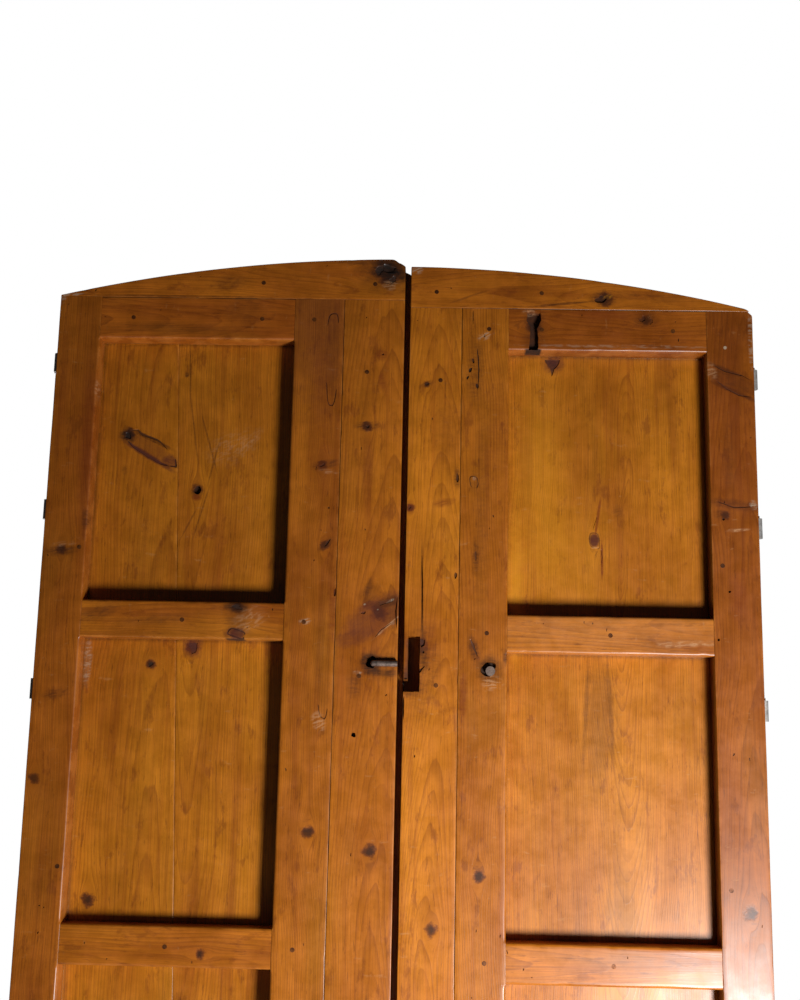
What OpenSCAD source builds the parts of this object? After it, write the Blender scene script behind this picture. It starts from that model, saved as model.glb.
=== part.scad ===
// Arched double door: two boarded leaves, each a frame of pine boards nailed over
// upright closing boards, hung on iron spike eyes that turn on wall pintles.
//
// Frame: +Z up, the framed inner face looks along -Y, and both leaves swing towards -Y.
// The origin is the middle of the bounding box at the foot of the right leaf.
// Inside a leaf, lengths run from its hinge edge towards the gap (U), from its
// front face backwards (Y) and from its foot upwards (Z).

/* [Leaves] */
// Width of the left leaf
left_leaf_w = 657; // [540:1:800]
// Width of the right leaf
right_leaf_w = 643; // [530:1:800]
// Gap between the two leaves at the front
leaf_gap = 11; // [8:0.5:20]
// How much lower the worn right leaf hangs
right_drop = 14; // [0:1:25]

/* [Frame boards] */
// Thickness of the frame boards
frame_t = 40; // [30:1:50]
// Clear height of each recessed field
field_h = 498; // [400:1:620]
// Height of the top rail
top_rail_h = 81; // [60:1:110]
// Height of each middle rail
mid_rail_h = 68; // [50:1:100]
// Height of the bottom rail
bottom_rail_h = 120; // [90:1:180]
// Width of the left leaf's hinge stile
left_hinge_stile_w = 80; // [76:1:110]
// Width of the left leaf's inner stile
left_inner_stile_w = 94; // [70:1:120]
// Width of the left leaf's meeting stile
left_meeting_stile_w = 114; // [90:1:140]
// Width of the right leaf's hinge stile
right_hinge_stile_w = 87; // [85:1:110]
// Width of the right leaf's inner stile
right_inner_stile_w = 88; // [70:1:120]
// Width of the right leaf's meeting stile
right_meeting_stile_w = 98; // [85:1:140]
// Width of the worn arris round each field
arris = 5; // [2:0.5:8]
// Length of the rail tenons
tenon_len = 30; // [15:1:45]
// Thickness of the rail tenons
tenon_t = 14; // [8:1:18]
// Shoulder above and below each tenon
tenon_shoulder = 12; // [8:1:20]
// Clearance of the tenons in their mortises
tenon_fit = 0.2; // [0.1:0.1:0.5]

/* [Arched head] */
// Rise of the arch from the hinge edge to the middle of the door
arch_rise = 79; // [50:1:140]
// Height of the head boards at the hinge edge
head_heel = 3; // [2:1:20]
// Radius of the worn outer corner of the right leaf
corner_r = 16; // [6:1:24]
// Width of the chip at the left head board's corner by the gap
chip_w = 22; // [8:1:40]
// Height of the chip at the left head board's corner by the gap
chip_h = 13; // [4:1:25]

/* [Closing boards] */
// Thickness of the closing boards behind the frame
board_t = 25; // [18:1:35]
// Width of the left leaf's outer board at the springing line
left_outer_head_w = 219; // [170:1:260]
// Width of the left leaf's outer board at its foot
left_outer_foot_w = 325; // [200:1:360]
// Width of the left leaf's closing board, without its tongue
left_closing_w = 202; // [130:1:203]
// Width of the right leaf's outer board, behind the hinge stile
right_outer_w = 84; // [75:1:86]
// Width of the right leaf's closing board
right_closing_w = 178; // [120:1:184]
// Free gap between the left leaf's tongue and the right leaf
tongue_gap = 0.9; // [0.8:0.1:3]

/* [Hinges] */
// Top hinge, measured down from the springing line
hinge_1_drop = 118; // [100:1:200]
// Second hinge, measured down from the springing line
hinge_2_drop = 405; // [330:1:500]
// Third hinge, measured down from the springing line
hinge_3_drop = 740; // [620:1:850]
// Fourth hinge, measured up from the foot
hinge_4_up = 967; // [800:1:1050]
// Bottom hinge, measured up from the foot
hinge_5_up = 277; // [150:1:420]
// Diameter of the pintle pins
pin_d = 10; // [8:0.5:12]
// Outer diameter of the eyes and of the pintle bosses
eye_d = 19; // [17:0.5:21]
// Height of each eye
eye_h = 24; // [18:1:34]
// Distance from a leaf's edge to its hinge axis
axis_offset = 10; // [9.5:0.5:14]
// Radial clearance of the pins in the eyes
pin_clearance = 0.05; // [0.03:0.01:0.1]
// Thickness of the tang that is driven into the leaf
tang_t = 8; // [6:0.5:10]
// Length of the tang inside the leaf
tang_len = 60; // [40:1:62]
// Clearance round the tang
tang_fit = 0.2; // [0.1:0.1:0.5]
// Height of the pintle boss
boss_h = 13; // [13:0.5:20]
// Gap between a boss and the eye above it
seat_gap = 0.2; // [0.1:0.1:0.5]
// Length of pin above the eye
pin_tip = 5; // [3:1:10]
// Diameter of the shank that is driven into the wall
shank_d = 12; // [10:0.5:12]
// Length of the shank from the hinge axis
shank_len = 95; // [70:1:140]
// Width of the step round a shank that stops it in its hole
shoulder_step = 0.4; // [0.2:0.1:0.4]
// Length of the shoulder from the hinge axis
shoulder_len = 20; // [14:1:24]

/* [Nails] */
// Diameter of the nail shanks
nail_d = 3.6; // [3:0.1:5]
// Diameter of the nail heads
nail_head_d = 8; // [6:0.5:11]
// Depth of the flush nail heads
nail_head_t = 1.6; // [1:0.1:2.5]
// How far the nails reach into the closing boards
nail_bite = 16; // [8:1:17]
// Clearance round the nails
nail_fit = 0.05; // [0.05:0.05:0.2]
// Distance of the rail nails from the ends of each rail
rail_nail_inset = 62; // [30:1:90]
// Distance of the hinge stile nails from the end of the tangs
tang_nail_gap = 8; // [6:0.5:9]
// Distance of the inner stile nails from the end of the tenons
tenon_nail_gap = 7; // [5:0.5:12]
// Height of the hinge stile nails above the foot of each field
hinge_nail_up = 96; // [40:1:200]
// Distance of the meeting stile nails below the head of each field
meeting_nail_down = 61; // [30:1:200]

/* [Latch remains] */
// Width of the slot in the right meeting stile
slot_w = 21; // [14:1:30]
// Height of the slot
slot_h = 99; // [60:1:130]
// Wood left between the slot and the meeting edge
slot_lip = 8; // [5:1:14]
// Height of the slot's mouth at the meeting edge
slot_mouth_h = 20; // [10:1:40]
// Foot of the slot, measured down from the springing line
slot_drop = 720; // [650:1:760]
// Diameter of the bent latch rod
rod_d = 11; // [8:0.5:14]
// Diameter of the worn hole that the rod comes out of
rod_hole_d = 17; // [15:0.5:22]
// Distance of the rod's hole from the left leaf's meeting edge
rod_inset = 43; // [30:1:55]
// Height of the rod, measured down from the springing line
rod_drop = 682; // [660:1:700]
// Depth of the rod in the meeting stile
rod_depth = 30; // [15:1:36]
// Diameter of the broken bolt stub
stub_d = 17; // [12:0.5:20]
// Diameter of the worn pit round the stub
pit_d = 28; // [24:0.5:34]
// Depth of the pit
pit_depth = 26; // [15:1:30]
// How far the stub stands out of the inner stile
stub_proud = 4; // [1:0.5:10]
// Distance of the pit from the seam of the two stiles
pit_inset = 54; // [25:1:60]
// Height of the pit, measured down from the springing line
pit_drop = 677; // [650:1:700]

/* [Hidden] */
$fn = 48;

// Which leaf a shape belongs to
LEFT = 0;
RIGHT = 1;

// The whole door
door_w = left_leaf_w + leaf_gap + right_leaf_w;
half_w = door_w / 2;
fields = 4;
frame_h = bottom_rail_h + fields * field_h + (fields - 1) * mid_rail_h + top_rail_h;
leaf_t = frame_t + board_t;
arch_r = (pow(half_w, 2) + pow(arch_rise, 2)) / (2 * arch_rise);
arch_centre_z = frame_h + head_heel + arch_rise - arch_r;
arch_fn = 720;
// Where nails stand, as shares of the meeting stile's width and of the arch's rise
meeting_nail_share = 0.6;
head_nail_share = 0.4;
board_mid_y = frame_t + board_t / 2;

// Depths from the front face, which the bounding box is centred on
foremost_y = -rod_d - seat_gap;
rearmost_y = board_mid_y + shank_len;
front_y = -(foremost_y + rearmost_y) / 2;

// Sizes that differ between the leaves
leaf_w = [left_leaf_w, right_leaf_w];
hinge_stile_w = [left_hinge_stile_w, right_hinge_stile_w];
inner_stile_w = [left_inner_stile_w, right_inner_stile_w];
meeting_stile_w = [left_meeting_stile_w, right_meeting_stile_w];
foot_z = [right_drop, 0];
board_reach = [left_leaf_w + leaf_gap - tongue_gap, right_leaf_w];
closing_u = [left_leaf_w - left_closing_w, right_leaf_w - right_closing_w];
outer_head_w = [left_outer_head_w, right_outer_w];
outer_foot_w = [left_outer_foot_w, right_outer_w];

// Hinge heights above a leaf's foot, at the bottom of each eye
eye_z = [
    for (middle = [
        frame_h - hinge_1_drop, frame_h - hinge_2_drop, frame_h - hinge_3_drop,
        hinge_4_up, hinge_5_up]) middle - (eye_h - boss_h) / 2];

// Colours
pine = "#b0601c";
pine_dark = "#8a4516";
pine_light = "#c47a2a";
iron = "#4a4744";

function field_u0(side) = hinge_stile_w[side];
function field_u1(side) = leaf_w[side] - meeting_stile_w[side] - inner_stile_w[side];
function seam_u(side) = leaf_w[side] - meeting_stile_w[side];
function field_z0(row) = bottom_rail_h + row * (field_h + mid_rail_h);
// The edge of the outer closing board leans, because the board tapers
function outer_w(side, z) =
    outer_foot_w[side] + (outer_head_w[side] - outer_foot_w[side]) * z / frame_h;

// Nails, as [u, z] pairs: beside each rail in the inner stile, in each stile by each
// field, two in the top, bottom and head boards, and one in each middle rail
function rail_nails(side, z0, h) = [
    for (u = [field_u0(side) + rail_nail_inset, field_u1(side) - rail_nail_inset])
        [u, z0 + h / 2]];
function mid_rail_nails(side, index) =
    [[(field_u0(side) + field_u1(side)) / 2, mid_rail_z(index) + mid_rail_h / 2]];
function hinge_stile_nails(side) = [
    for (row = [0:fields - 1]) [tang_len + tang_nail_gap, field_z0(row) + hinge_nail_up]];
function inner_stile_nails(side) = [
    for (z = concat(top_rail_z() + top_rail_h / 2, bottom_rail_h / 2,
            [for (index = [1:fields - 1]) mid_rail_z(index) + mid_rail_h / 2]))
        [field_u1(side) + tenon_len + tenon_nail_gap, z]];
function meeting_stile_nails(side) = [
    for (row = [0:fields - 1])
        [leaf_w[side] - meeting_stile_w[side] * meeting_nail_share,
            field_z0(row) + field_h - meeting_nail_down]];
function head_nails(side) = [
    for (u = [field_u1(side) - rail_nail_inset, leaf_w[side] - meeting_stile_w[side] / 2])
        [u, frame_h + arch_rise * head_nail_share]];
function mid_rail_z(index) = field_z0(fields - index) - mid_rail_h;
function top_rail_z() = frame_h - top_rail_h;
function all_nails(side) = concat(
    rail_nails(side, 0, bottom_rail_h), rail_nails(side, top_rail_z(), top_rail_h),
    [for (index = [1:fields - 1]) each mid_rail_nails(side, index)],
    hinge_stile_nails(side), inner_stile_nails(side), meeting_stile_nails(side),
    head_nails(side));

// Puts a leaf's own frame into the door's frame
module in_leaf(side) {
    if (side == LEFT) translate([-half_w, front_y, foot_z[side]]) children();
    else translate([half_w, front_y, foot_z[side]]) mirror([1, 0, 0]) children();
}

module block(u0, u1, y0, y1, z0, z1) {
    translate([u0, y0, z0]) cube([u1 - u0, y1 - y0, z1 - z0]);
}

module rod_along_y(u, z, y0, y1, d) {
    translate([u, y0, z]) rotate([-90, 0, 0]) cylinder(h = y1 - y0, d = d);
}

// Everything under the arch of the head
module under_arch() {
    translate([half_w, -1, arch_centre_z]) rotate([-90, 0, 0])
        cylinder(h = leaf_t + 2, r = arch_r, $fn = arch_fn);
}

module nail(p, fit) {
    rod_along_y(p[0], p[1], -fit, nail_head_t + fit, nail_head_d + 2 * fit);
    rod_along_y(p[0], p[1], nail_head_t, frame_t + nail_bite + fit, nail_d + 2 * fit);
}

module nail_holes(points) {
    for (p = points) nail(p, nail_fit);
}

// Chamfer tools along an edge of the front face, level and upright
module arris_level(u0, u1, z) {
    side_len = arris * sqrt(2);
    translate([(u0 + u1) / 2, 0, z]) rotate([45, 0, 0])
        cube([u1 - u0, side_len, side_len], center = true);
}

module arris_upright(u, z0, z1) {
    side_len = arris * sqrt(2);
    translate([u, 0, (z0 + z1) / 2]) rotate([0, 0, 45])
        cube([side_len, side_len, z1 - z0], center = true);
}

module field_arrises(side, u) {
    for (row = [0:fields - 1]) arris_upright(u, field_z0(row), field_z0(row) + field_h);
}

// A rail with a tenon at each end; fit grows the tenons into mortise tools
module tenons(side, z0, h, fit) {
    block(field_u0(side) - tenon_len - fit, field_u1(side) + tenon_len + fit,
        (frame_t - tenon_t) / 2 - fit, (frame_t + tenon_t) / 2 + fit,
        z0 + tenon_shoulder - fit, z0 + h - tenon_shoulder + fit);
}

module all_mortises(side) {
    tenons(side, 0, bottom_rail_h, tenon_fit);
    tenons(side, top_rail_z(), top_rail_h, tenon_fit);
    for (index = [1:fields - 1]) tenons(side, mid_rail_z(index), mid_rail_h, tenon_fit);
}

module rail(side, z0, h, low_arris, high_arris, points, tone) {
    color(tone) in_leaf(side) difference() {
        union() {
            block(field_u0(side), field_u1(side), 0, frame_t, z0, z0 + h);
            tenons(side, z0, h, 0);
        }
        if (low_arris) arris_level(field_u0(side), field_u1(side), z0);
        if (high_arris) arris_level(field_u0(side), field_u1(side), z0 + h);
        nail_holes(points);
    }
}

module top_rail(side) {
    points = rail_nails(side, top_rail_z(), top_rail_h);
    rail(side, top_rail_z(), top_rail_h, true, false, points, pine_dark);
}

module mid_rail(side, index) {
    rail(side, mid_rail_z(index), mid_rail_h, true, true, mid_rail_nails(side, index), pine);
}

module bottom_rail(side) {
    rail(side, 0, bottom_rail_h, false, true, rail_nails(side, 0, bottom_rail_h), pine);
}

module hinge_stile(side) {
    color(pine) in_leaf(side) difference() {
        block(0, field_u0(side), 0, frame_t, 0, frame_h);
        all_mortises(side);
        field_arrises(side, field_u0(side));
        nail_holes(hinge_stile_nails(side));
        if (side == RIGHT) worn_corner();
    }
}

module inner_stile(side) {
    color(pine) in_leaf(side) difference() {
        block(field_u1(side), seam_u(side), 0, frame_t, 0, frame_h);
        all_mortises(side);
        field_arrises(side, field_u1(side));
        nail_holes(inner_stile_nails(side));
        if (side == RIGHT) bolt_pit();
    }
}

module meeting_stile(side) {
    color(pine) in_leaf(side) difference() {
        block(seam_u(side), leaf_w[side], 0, frame_t, 0, frame_h);
        nail_holes(meeting_stile_nails(side));
        if (side == LEFT) rod_hole();
        if (side == RIGHT) latch_slot();
    }
}

module head_board(side) {
    color(pine_dark) in_leaf(side) difference() {
        intersection() {
            block(0, leaf_w[side], 0, frame_t, frame_h, frame_h + head_heel + arch_rise);
            under_arch();
        }
        nail_holes(head_nails(side));
        if (side == LEFT) head_chip();
        if (side == RIGHT) worn_corner();
    }
}

// An upright closing board between two edges, each given at the foot and at the
// springing line, and cut to the arch
module closing_board(side, foot_u0, head_u0, foot_u1, head_u1) {
    top = frame_h + head_heel + arch_rise;
    slope0 = (head_u0 - foot_u0) / frame_h;
    slope1 = (head_u1 - foot_u1) / frame_h;
    color(pine_light) in_leaf(side) difference() {
        intersection() {
            translate([0, leaf_t, 0]) rotate([90, 0, 0]) linear_extrude(board_t)
                polygon([[foot_u0, 0], [foot_u1, 0],
                    [foot_u1 + slope1 * top, top], [foot_u0 + slope0 * top, top]]);
            under_arch();
        }
        nail_holes([for (p = all_nails(side))
            if (p[0] > foot_u0 + slope0 * p[1] - nail_d && p[0] < foot_u1 + slope1 * p[1] + nail_d)
                p]);
        if (foot_u0 == 0) tang_slots();
        if (foot_u0 == 0 && side == RIGHT) worn_corner();
        if (side == LEFT) head_chip();
    }
}

module outer_board(side) {
    closing_board(side, 0, 0, outer_foot_w[side], outer_head_w[side]);
}

module middle_board(side) {
    closing_board(side, outer_foot_w[side], outer_head_w[side], closing_u[side], closing_u[side]);
}

module inner_closing_board(side) {
    closing_board(side, closing_u[side], closing_u[side], board_reach[side], board_reach[side]);
}

// The chipped corner of the left leaf's head by the gap
module head_chip() {
    top = frame_h + head_heel + arch_rise;
    translate([leaf_w[LEFT], -1, top]) rotate([-90, 0, 0]) linear_extrude(leaf_t + 2)
        polygon([[-chip_w, -1], [chip_w, -1], [chip_w, chip_h], [0, chip_h]]);
}

// The rounded outer corner of the right leaf's head
module worn_corner() {
    top = frame_h + head_heel;
    difference() {
        block(-1, corner_r, -1, leaf_t + 1, top - corner_r, top + arch_rise);
        rod_along_y(corner_r, top - corner_r, -2, leaf_t + 2, 2 * corner_r);
    }
}

module tang_slots() {
    for (z = eye_z) block(-1, tang_len + tang_fit,
        board_mid_y - tang_t / 2 - tang_fit, board_mid_y + tang_t / 2 + tang_fit,
        z - tang_fit, z + eye_h + tang_fit);
}

// A forged eye with its tang, driven into the edge of the outer closing board
module eye(side, index) {
    color(iron) in_leaf(side) translate([-axis_offset, board_mid_y, eye_z[index - 1]])
        difference() {
            union() {
                cylinder(h = eye_h, d = eye_d);
                translate([0, -tang_t / 2, 0]) cube([axis_offset + tang_len, tang_t, eye_h]);
            }
            translate([0, 0, -1]) cylinder(h = eye_h + 2, d = pin_d + 2 * pin_clearance);
        }
}

// A wall pintle: an upright pin on a boss, and a shank that is driven into the wall
module pintle(side, index) {
    boss_z = eye_z[index - 1] - seat_gap - boss_h;
    pin_len = boss_h + seat_gap + eye_h + pin_tip;
    color(iron) in_leaf(side) translate([-axis_offset, board_mid_y, boss_z]) {
        cylinder(h = boss_h, d = eye_d);
        cylinder(h = pin_len, d = pin_d);
        rod_along_y(0, boss_h / 2, 0, shoulder_len, shank_d + 2 * shoulder_step);
        rod_along_y(0, boss_h / 2, 0, shank_len, shank_d);
    }
}

module nails(side) {
    color(iron) in_leaf(side) for (p = all_nails(side)) nail(p, 0);
}

// Remains of the latch: a slot, a bent rod and a broken bolt
module latch_slot() {
    foot = frame_h - slot_drop;
    edge = leaf_w[RIGHT];
    block(edge - slot_lip - slot_w, edge - slot_lip, -1, frame_t + 1, foot, foot + slot_h);
    block(edge - slot_lip - 1, edge + 1, -1, frame_t + 1, foot, foot + slot_mouth_h);
}

rod_u = left_leaf_w - rod_inset;
rod_z = frame_h - rod_drop - (rod_hole_d - rod_d) / 2 + seat_gap;

module rod_hole() {
    rod_along_y(rod_u, frame_h - rod_drop, -1, rod_depth + 1, rod_hole_d);
}

module latch_rod() {
    bend_y = -rod_d / 2 - seat_gap;
    color(iron) in_leaf(LEFT) {
        rod_along_y(rod_u, rod_z, bend_y, rod_depth, rod_d);
        translate([rod_u, bend_y, rod_z]) sphere(d = rod_d);
        translate([rod_u, bend_y, rod_z]) rotate([0, 90, 0]) cylinder(h = rod_inset, d = rod_d);
    }
}

pit_u = right_leaf_w - right_meeting_stile_w - pit_inset;
pit_z = frame_h - pit_drop;
// The stub lies against the lower inner side of the pit
stub_shift = ((pit_d - stub_d) / 2 - seat_gap) / sqrt(2);

module bolt_pit() {
    rod_along_y(pit_u, pit_z, -1, pit_depth, pit_d);
}

module bolt_stub() {
    color(iron) in_leaf(RIGHT)
        rod_along_y(pit_u - stub_shift, pit_z - stub_shift, -stub_proud, pit_depth, stub_d);
}

hinge_stile(LEFT);  // left_hinge_stile
inner_stile(LEFT);  // left_inner_stile
meeting_stile(LEFT);  // left_meeting_stile
top_rail(LEFT);  // left_top_rail
mid_rail(LEFT, 1);  // left_mid_rail_1
mid_rail(LEFT, 2);  // left_mid_rail_2
mid_rail(LEFT, 3);  // left_mid_rail_3
bottom_rail(LEFT);  // left_bottom_rail
head_board(LEFT);  // left_head_board
outer_board(LEFT);  // left_outer_board
middle_board(LEFT);  // left_middle_board
inner_closing_board(LEFT);  // left_closing_board
nails(LEFT);  // left_nails
latch_rod();  // left_latch_rod
eye(LEFT, 1);  // left_eye_1
eye(LEFT, 2);  // left_eye_2
eye(LEFT, 3);  // left_eye_3
eye(LEFT, 4);  // left_eye_4
eye(LEFT, 5);  // left_eye_5
hinge_stile(RIGHT);  // right_hinge_stile
inner_stile(RIGHT);  // right_inner_stile
meeting_stile(RIGHT);  // right_meeting_stile
top_rail(RIGHT);  // right_top_rail
mid_rail(RIGHT, 1);  // right_mid_rail_1
mid_rail(RIGHT, 2);  // right_mid_rail_2
mid_rail(RIGHT, 3);  // right_mid_rail_3
bottom_rail(RIGHT);  // right_bottom_rail
head_board(RIGHT);  // right_head_board
outer_board(RIGHT);  // right_outer_board
middle_board(RIGHT);  // right_middle_board
inner_closing_board(RIGHT);  // right_closing_board
nails(RIGHT);  // right_nails
bolt_stub();  // right_bolt_stub
eye(RIGHT, 1);  // right_eye_1
eye(RIGHT, 2);  // right_eye_2
eye(RIGHT, 3);  // right_eye_3
eye(RIGHT, 4);  // right_eye_4
eye(RIGHT, 5);  // right_eye_5
pintle(LEFT, 1);  // left_pintle_1
pintle(LEFT, 2);  // left_pintle_2
pintle(LEFT, 3);  // left_pintle_3
pintle(LEFT, 4);  // left_pintle_4
pintle(LEFT, 5);  // left_pintle_5
pintle(RIGHT, 1);  // right_pintle_1
pintle(RIGHT, 2);  // right_pintle_2
pintle(RIGHT, 3);  // right_pintle_3
pintle(RIGHT, 4);  // right_pintle_4
pintle(RIGHT, 5);  // right_pintle_5
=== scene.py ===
"""Looks for the arched double door: worn, varnished pine boards and forged iron.

Every board is rebuilt as a closed mesh with worn arrises, dents and carved marks, and
replaces its CAD node. The iron stays as it is in the CAD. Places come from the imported
frame. Lengths are in metres: X runs along the wall, Y into it, Z up.
"""

import math
import zlib

import bmesh
import bpy
import numpy as np
from mathutils import Matrix, Vector


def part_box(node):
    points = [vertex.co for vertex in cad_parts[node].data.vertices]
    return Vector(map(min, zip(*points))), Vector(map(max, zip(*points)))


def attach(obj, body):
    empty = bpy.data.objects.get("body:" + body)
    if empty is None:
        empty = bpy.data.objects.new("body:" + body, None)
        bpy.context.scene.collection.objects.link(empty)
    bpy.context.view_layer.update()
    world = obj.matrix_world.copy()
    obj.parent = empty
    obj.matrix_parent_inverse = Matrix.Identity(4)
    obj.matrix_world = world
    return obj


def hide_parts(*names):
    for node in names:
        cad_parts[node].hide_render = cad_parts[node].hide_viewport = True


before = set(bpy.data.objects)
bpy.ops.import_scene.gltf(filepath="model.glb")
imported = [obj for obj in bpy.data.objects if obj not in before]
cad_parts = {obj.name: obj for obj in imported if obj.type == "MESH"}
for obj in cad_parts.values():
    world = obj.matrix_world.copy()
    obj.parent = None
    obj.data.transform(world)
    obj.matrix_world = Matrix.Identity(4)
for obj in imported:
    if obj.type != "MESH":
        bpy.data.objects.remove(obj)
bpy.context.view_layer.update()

# ---------------------------------------------------------------- sizes from the frame

MM = 0.001
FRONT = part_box("left_hinge_stile")[0].y
FRAME_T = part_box("left_hinge_stile")[1].y - FRONT
BOARD_FRONT = FRONT + FRAME_T
BOARD_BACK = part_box("left_outer_board")[1].y
HALF_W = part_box("right_hinge_stile")[1].x
SPRING_Z = {side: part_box(f"{side}_inner_stile")[1].z for side in ("left", "right")}
FOOT_Z = {side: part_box(f"{side}_inner_stile")[0].z for side in ("left", "right")}
HEAD_HEEL = 3 * MM
ARCH_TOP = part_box("right_closing_board")[1].z - SPRING_Z["right"]
ARCH_RISE = ARCH_TOP - HEAD_HEEL
ARCH_R = (HALF_W**2 + ARCH_RISE**2) / (2 * ARCH_RISE)
GAP_X = (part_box("left_meeting_stile")[1].x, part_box("right_meeting_stile")[0].x)
FIELD_X = {
    "left": (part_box("left_hinge_stile")[1].x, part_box("left_inner_stile")[0].x),
    "right": (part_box("right_inner_stile")[1].x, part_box("right_hinge_stile")[0].x),
}
RAILS = ("bottom_rail", "mid_rail_3", "mid_rail_2", "mid_rail_1", "top_rail")

# the worn outer corner of the right leaf, and the chip in the left head at the gap
CORNER_R = 16 * MM
CHIP_W = 22 * MM
CHIP_H = 13 * MM
CHIP_RIPPLE = 1.3 * MM
CHIP_RIPPLES = 11.0

# radii of worn arrises: beside a field, beside the right leaf's outer reveals, elsewhere
# on the front, on the back and at a board's ends
FIELD_ARRIS = 4.6 * MM
CRISP_ARRIS = 1.8 * MM
PLAIN_ARRIS = 1.4 * MM
BACK_ARRIS = 1.2 * MM
END_ARRIS = 0.8 * PLAIN_ARRIS

# darkness of the painted shade on a stile's side that faces a field away from the light, and of
# the soiling between two closing boards, the width of a seam's dark band, the run-out of a
# field's wide arris, and the distance to a field's side given where no field is near
PAINTED_REVEAL_SHADE = 0.65
FAINT_SEAM = 0.22
SEAM_BAND = 0.75 * MM
FIELD_RAMP = 3 * MM
FAR_FROM_FIELD_SIDES = 0.1

# the right closing board stands this much nearer the tongue than in the CAD
TONGUE_SHUT = 0.6 * MM

# spacing of a board's mesh along and across it, closer by FINER on the level boards, and
# the stretch over which an upright board's mesh bends to its head
STATION = 7 * MM
ACROSS = 7 * MM
FINER = 0.6
HEAD_STRETCH = 160 * MM

# a height past every head, where a leaning edge has run beyond its own end
OVER_THE_HEAD = 9.0

# hollows of the hand plane, and how far they lie under the board's face at least
PLANED_DEPTH = 0.34 * MM
SURFACE_SINK = 0.15 * MM


def field_heights(side):
    """(foot, head) of each recessed field of a leaf, from the bottom up."""
    boxes = [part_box(f"{side}_{rail}") for rail in RAILS]
    return [(low[1].z, high[0].z) for low, high in zip(boxes, boxes[1:])]


def arch_z(side, x):
    """Height of the arch of a leaf above x."""
    return SPRING_Z[side] + ARCH_TOP - ARCH_R + np.sqrt(ARCH_R**2 - np.asarray(x) ** 2)


def corner_drop(x):
    """How far the right leaf's worn outer corner falls away above x."""
    into = np.clip(np.asarray(x) - (HALF_W - CORNER_R), 0, CORNER_R)
    return CORNER_R - np.sqrt(np.maximum(CORNER_R**2 - into**2, 0))


def head_z(side, x):
    """The arch with the chip at the gap (left) and the worn outer corner (right)."""
    x = np.asarray(x, float)
    if side == "right":
        return arch_z(side, x) - corner_drop(x)
    into_chip = np.clip((x - (GAP_X[0] - CHIP_W)) / CHIP_W, 0, 1)
    ripple = CHIP_RIPPLE * np.sin(into_chip * CHIP_RIPPLES) ** 2
    return arch_z(side, x) - CHIP_H * into_chip - ripple


def seam_x(side, z):
    """The leaning edge between the outer and the middle closing board."""
    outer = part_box(f"{side}_outer_board")
    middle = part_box(f"{side}_middle_board")
    foot_x, head_x = (outer[1].x, middle[0].x) if side == "left" else (outer[0].x, middle[1].x)
    top = float(arch_z(side, head_x))
    share = (np.asarray(z) - FOOT_Z[side]) / (top - FOOT_Z[side])
    return foot_x + (head_x - foot_x) * share


# ---------------------------------------------------------------- stable random values

WAVE_COUNT = 9


def dice(name):
    """Random values that depend on the name alone."""
    return np.random.RandomState(zlib.crc32(name.encode()) % (2**31))


def waves(name, points, wavelengths):
    """Smooth noise in about -1..1 over points (n, k), one wavelength per column."""
    rng = dice(name)
    total = np.zeros(len(points))
    for i in range(WAVE_COUNT):
        octave = 0.6 + 1.6 * i / WAVE_COUNT
        direction = rng.normal(size=points.shape[1])
        direction /= np.linalg.norm(direction)
        direction = direction / np.asarray(wavelengths) * octave
        total += np.sin(2 * math.pi * points @ direction + rng.uniform(0, 2 * math.pi))
    return total / math.sqrt(WAVE_COUNT) * 0.9


# ---------------------------------------------------------------- board meshes


def add_object(name, data):
    made = bpy.data.objects.new(name, data)
    bpy.context.scene.collection.objects.link(made)
    return made


def add_mesh(name, points, faces):
    mesh = bpy.data.meshes.new(name)
    mesh.from_pydata(points, [], faces)
    mesh.update()
    return add_object(name, mesh)


def edge_wear(name, along, base, uneven=0.28, nicks=5):
    """Radius of a worn edge along a board: uneven, with a few short nicks."""
    rng = dice(name)
    length = along[-1] - along[0]
    radius = base * (1 + uneven * waves(name + "slow", along[:, None], [0.24]))
    for _ in range(max(2, int(length * nicks))):
        centre = rng.uniform(along[0], along[-1])
        width = rng.uniform(3, 9) * MM
        radius += base * rng.uniform(0.1, 0.9) * np.exp(-((along - centre) / width) ** 2)
    return np.clip(radius, 0.35 * base, 2.2 * base)


def rings(a0, a1, depth, r0, r1, steps_across, steps_back):
    """Closed cross-sections, one row per station: (across, depth) of each ring point."""
    corner = np.linspace(0, math.pi / 2, 5)[1:]
    back_corner = np.linspace(0, math.pi / 2, 3)
    rows = []
    for t in np.linspace(0, 1, steps_across):
        rows.append((a0 + r0 + (a1 - r1 - a0 - r0) * t, 0))
    for angle in corner:
        rows.append((a1 - r1 + r1 * math.sin(angle), r1 * (1 - math.cos(angle))))
    for t in (0.33, 0.66):
        rows.append((a1, r1 + (depth - BACK_ARRIS - r1) * t))
    for angle in back_corner:
        rows.append((a1 - BACK_ARRIS * (1 - math.cos(angle)),
                     depth - BACK_ARRIS * (1 - math.sin(angle))))
    for t in np.linspace(0, 1, steps_back)[1:-1]:
        rows.append((a1 - BACK_ARRIS + (a0 - a1 + 2 * BACK_ARRIS) * t, depth))
    for angle in back_corner[::-1]:
        rows.append((a0 + BACK_ARRIS * (1 - math.cos(angle)),
                     depth - BACK_ARRIS * (1 - math.sin(angle))))
    for t in (0.66, 0.33):
        rows.append((a0, r0 + (depth - BACK_ARRIS - r0) * t))
    for angle in corner[::-1]:
        rows.append((a0 + r0 - r0 * math.sin(angle), r0 * (1 - math.cos(angle))))
    across = np.stack([row[0] for row in rows], 1)
    deep = np.stack([row[1] * np.ones_like(a0) for row in rows], 1)
    return across, deep


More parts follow.
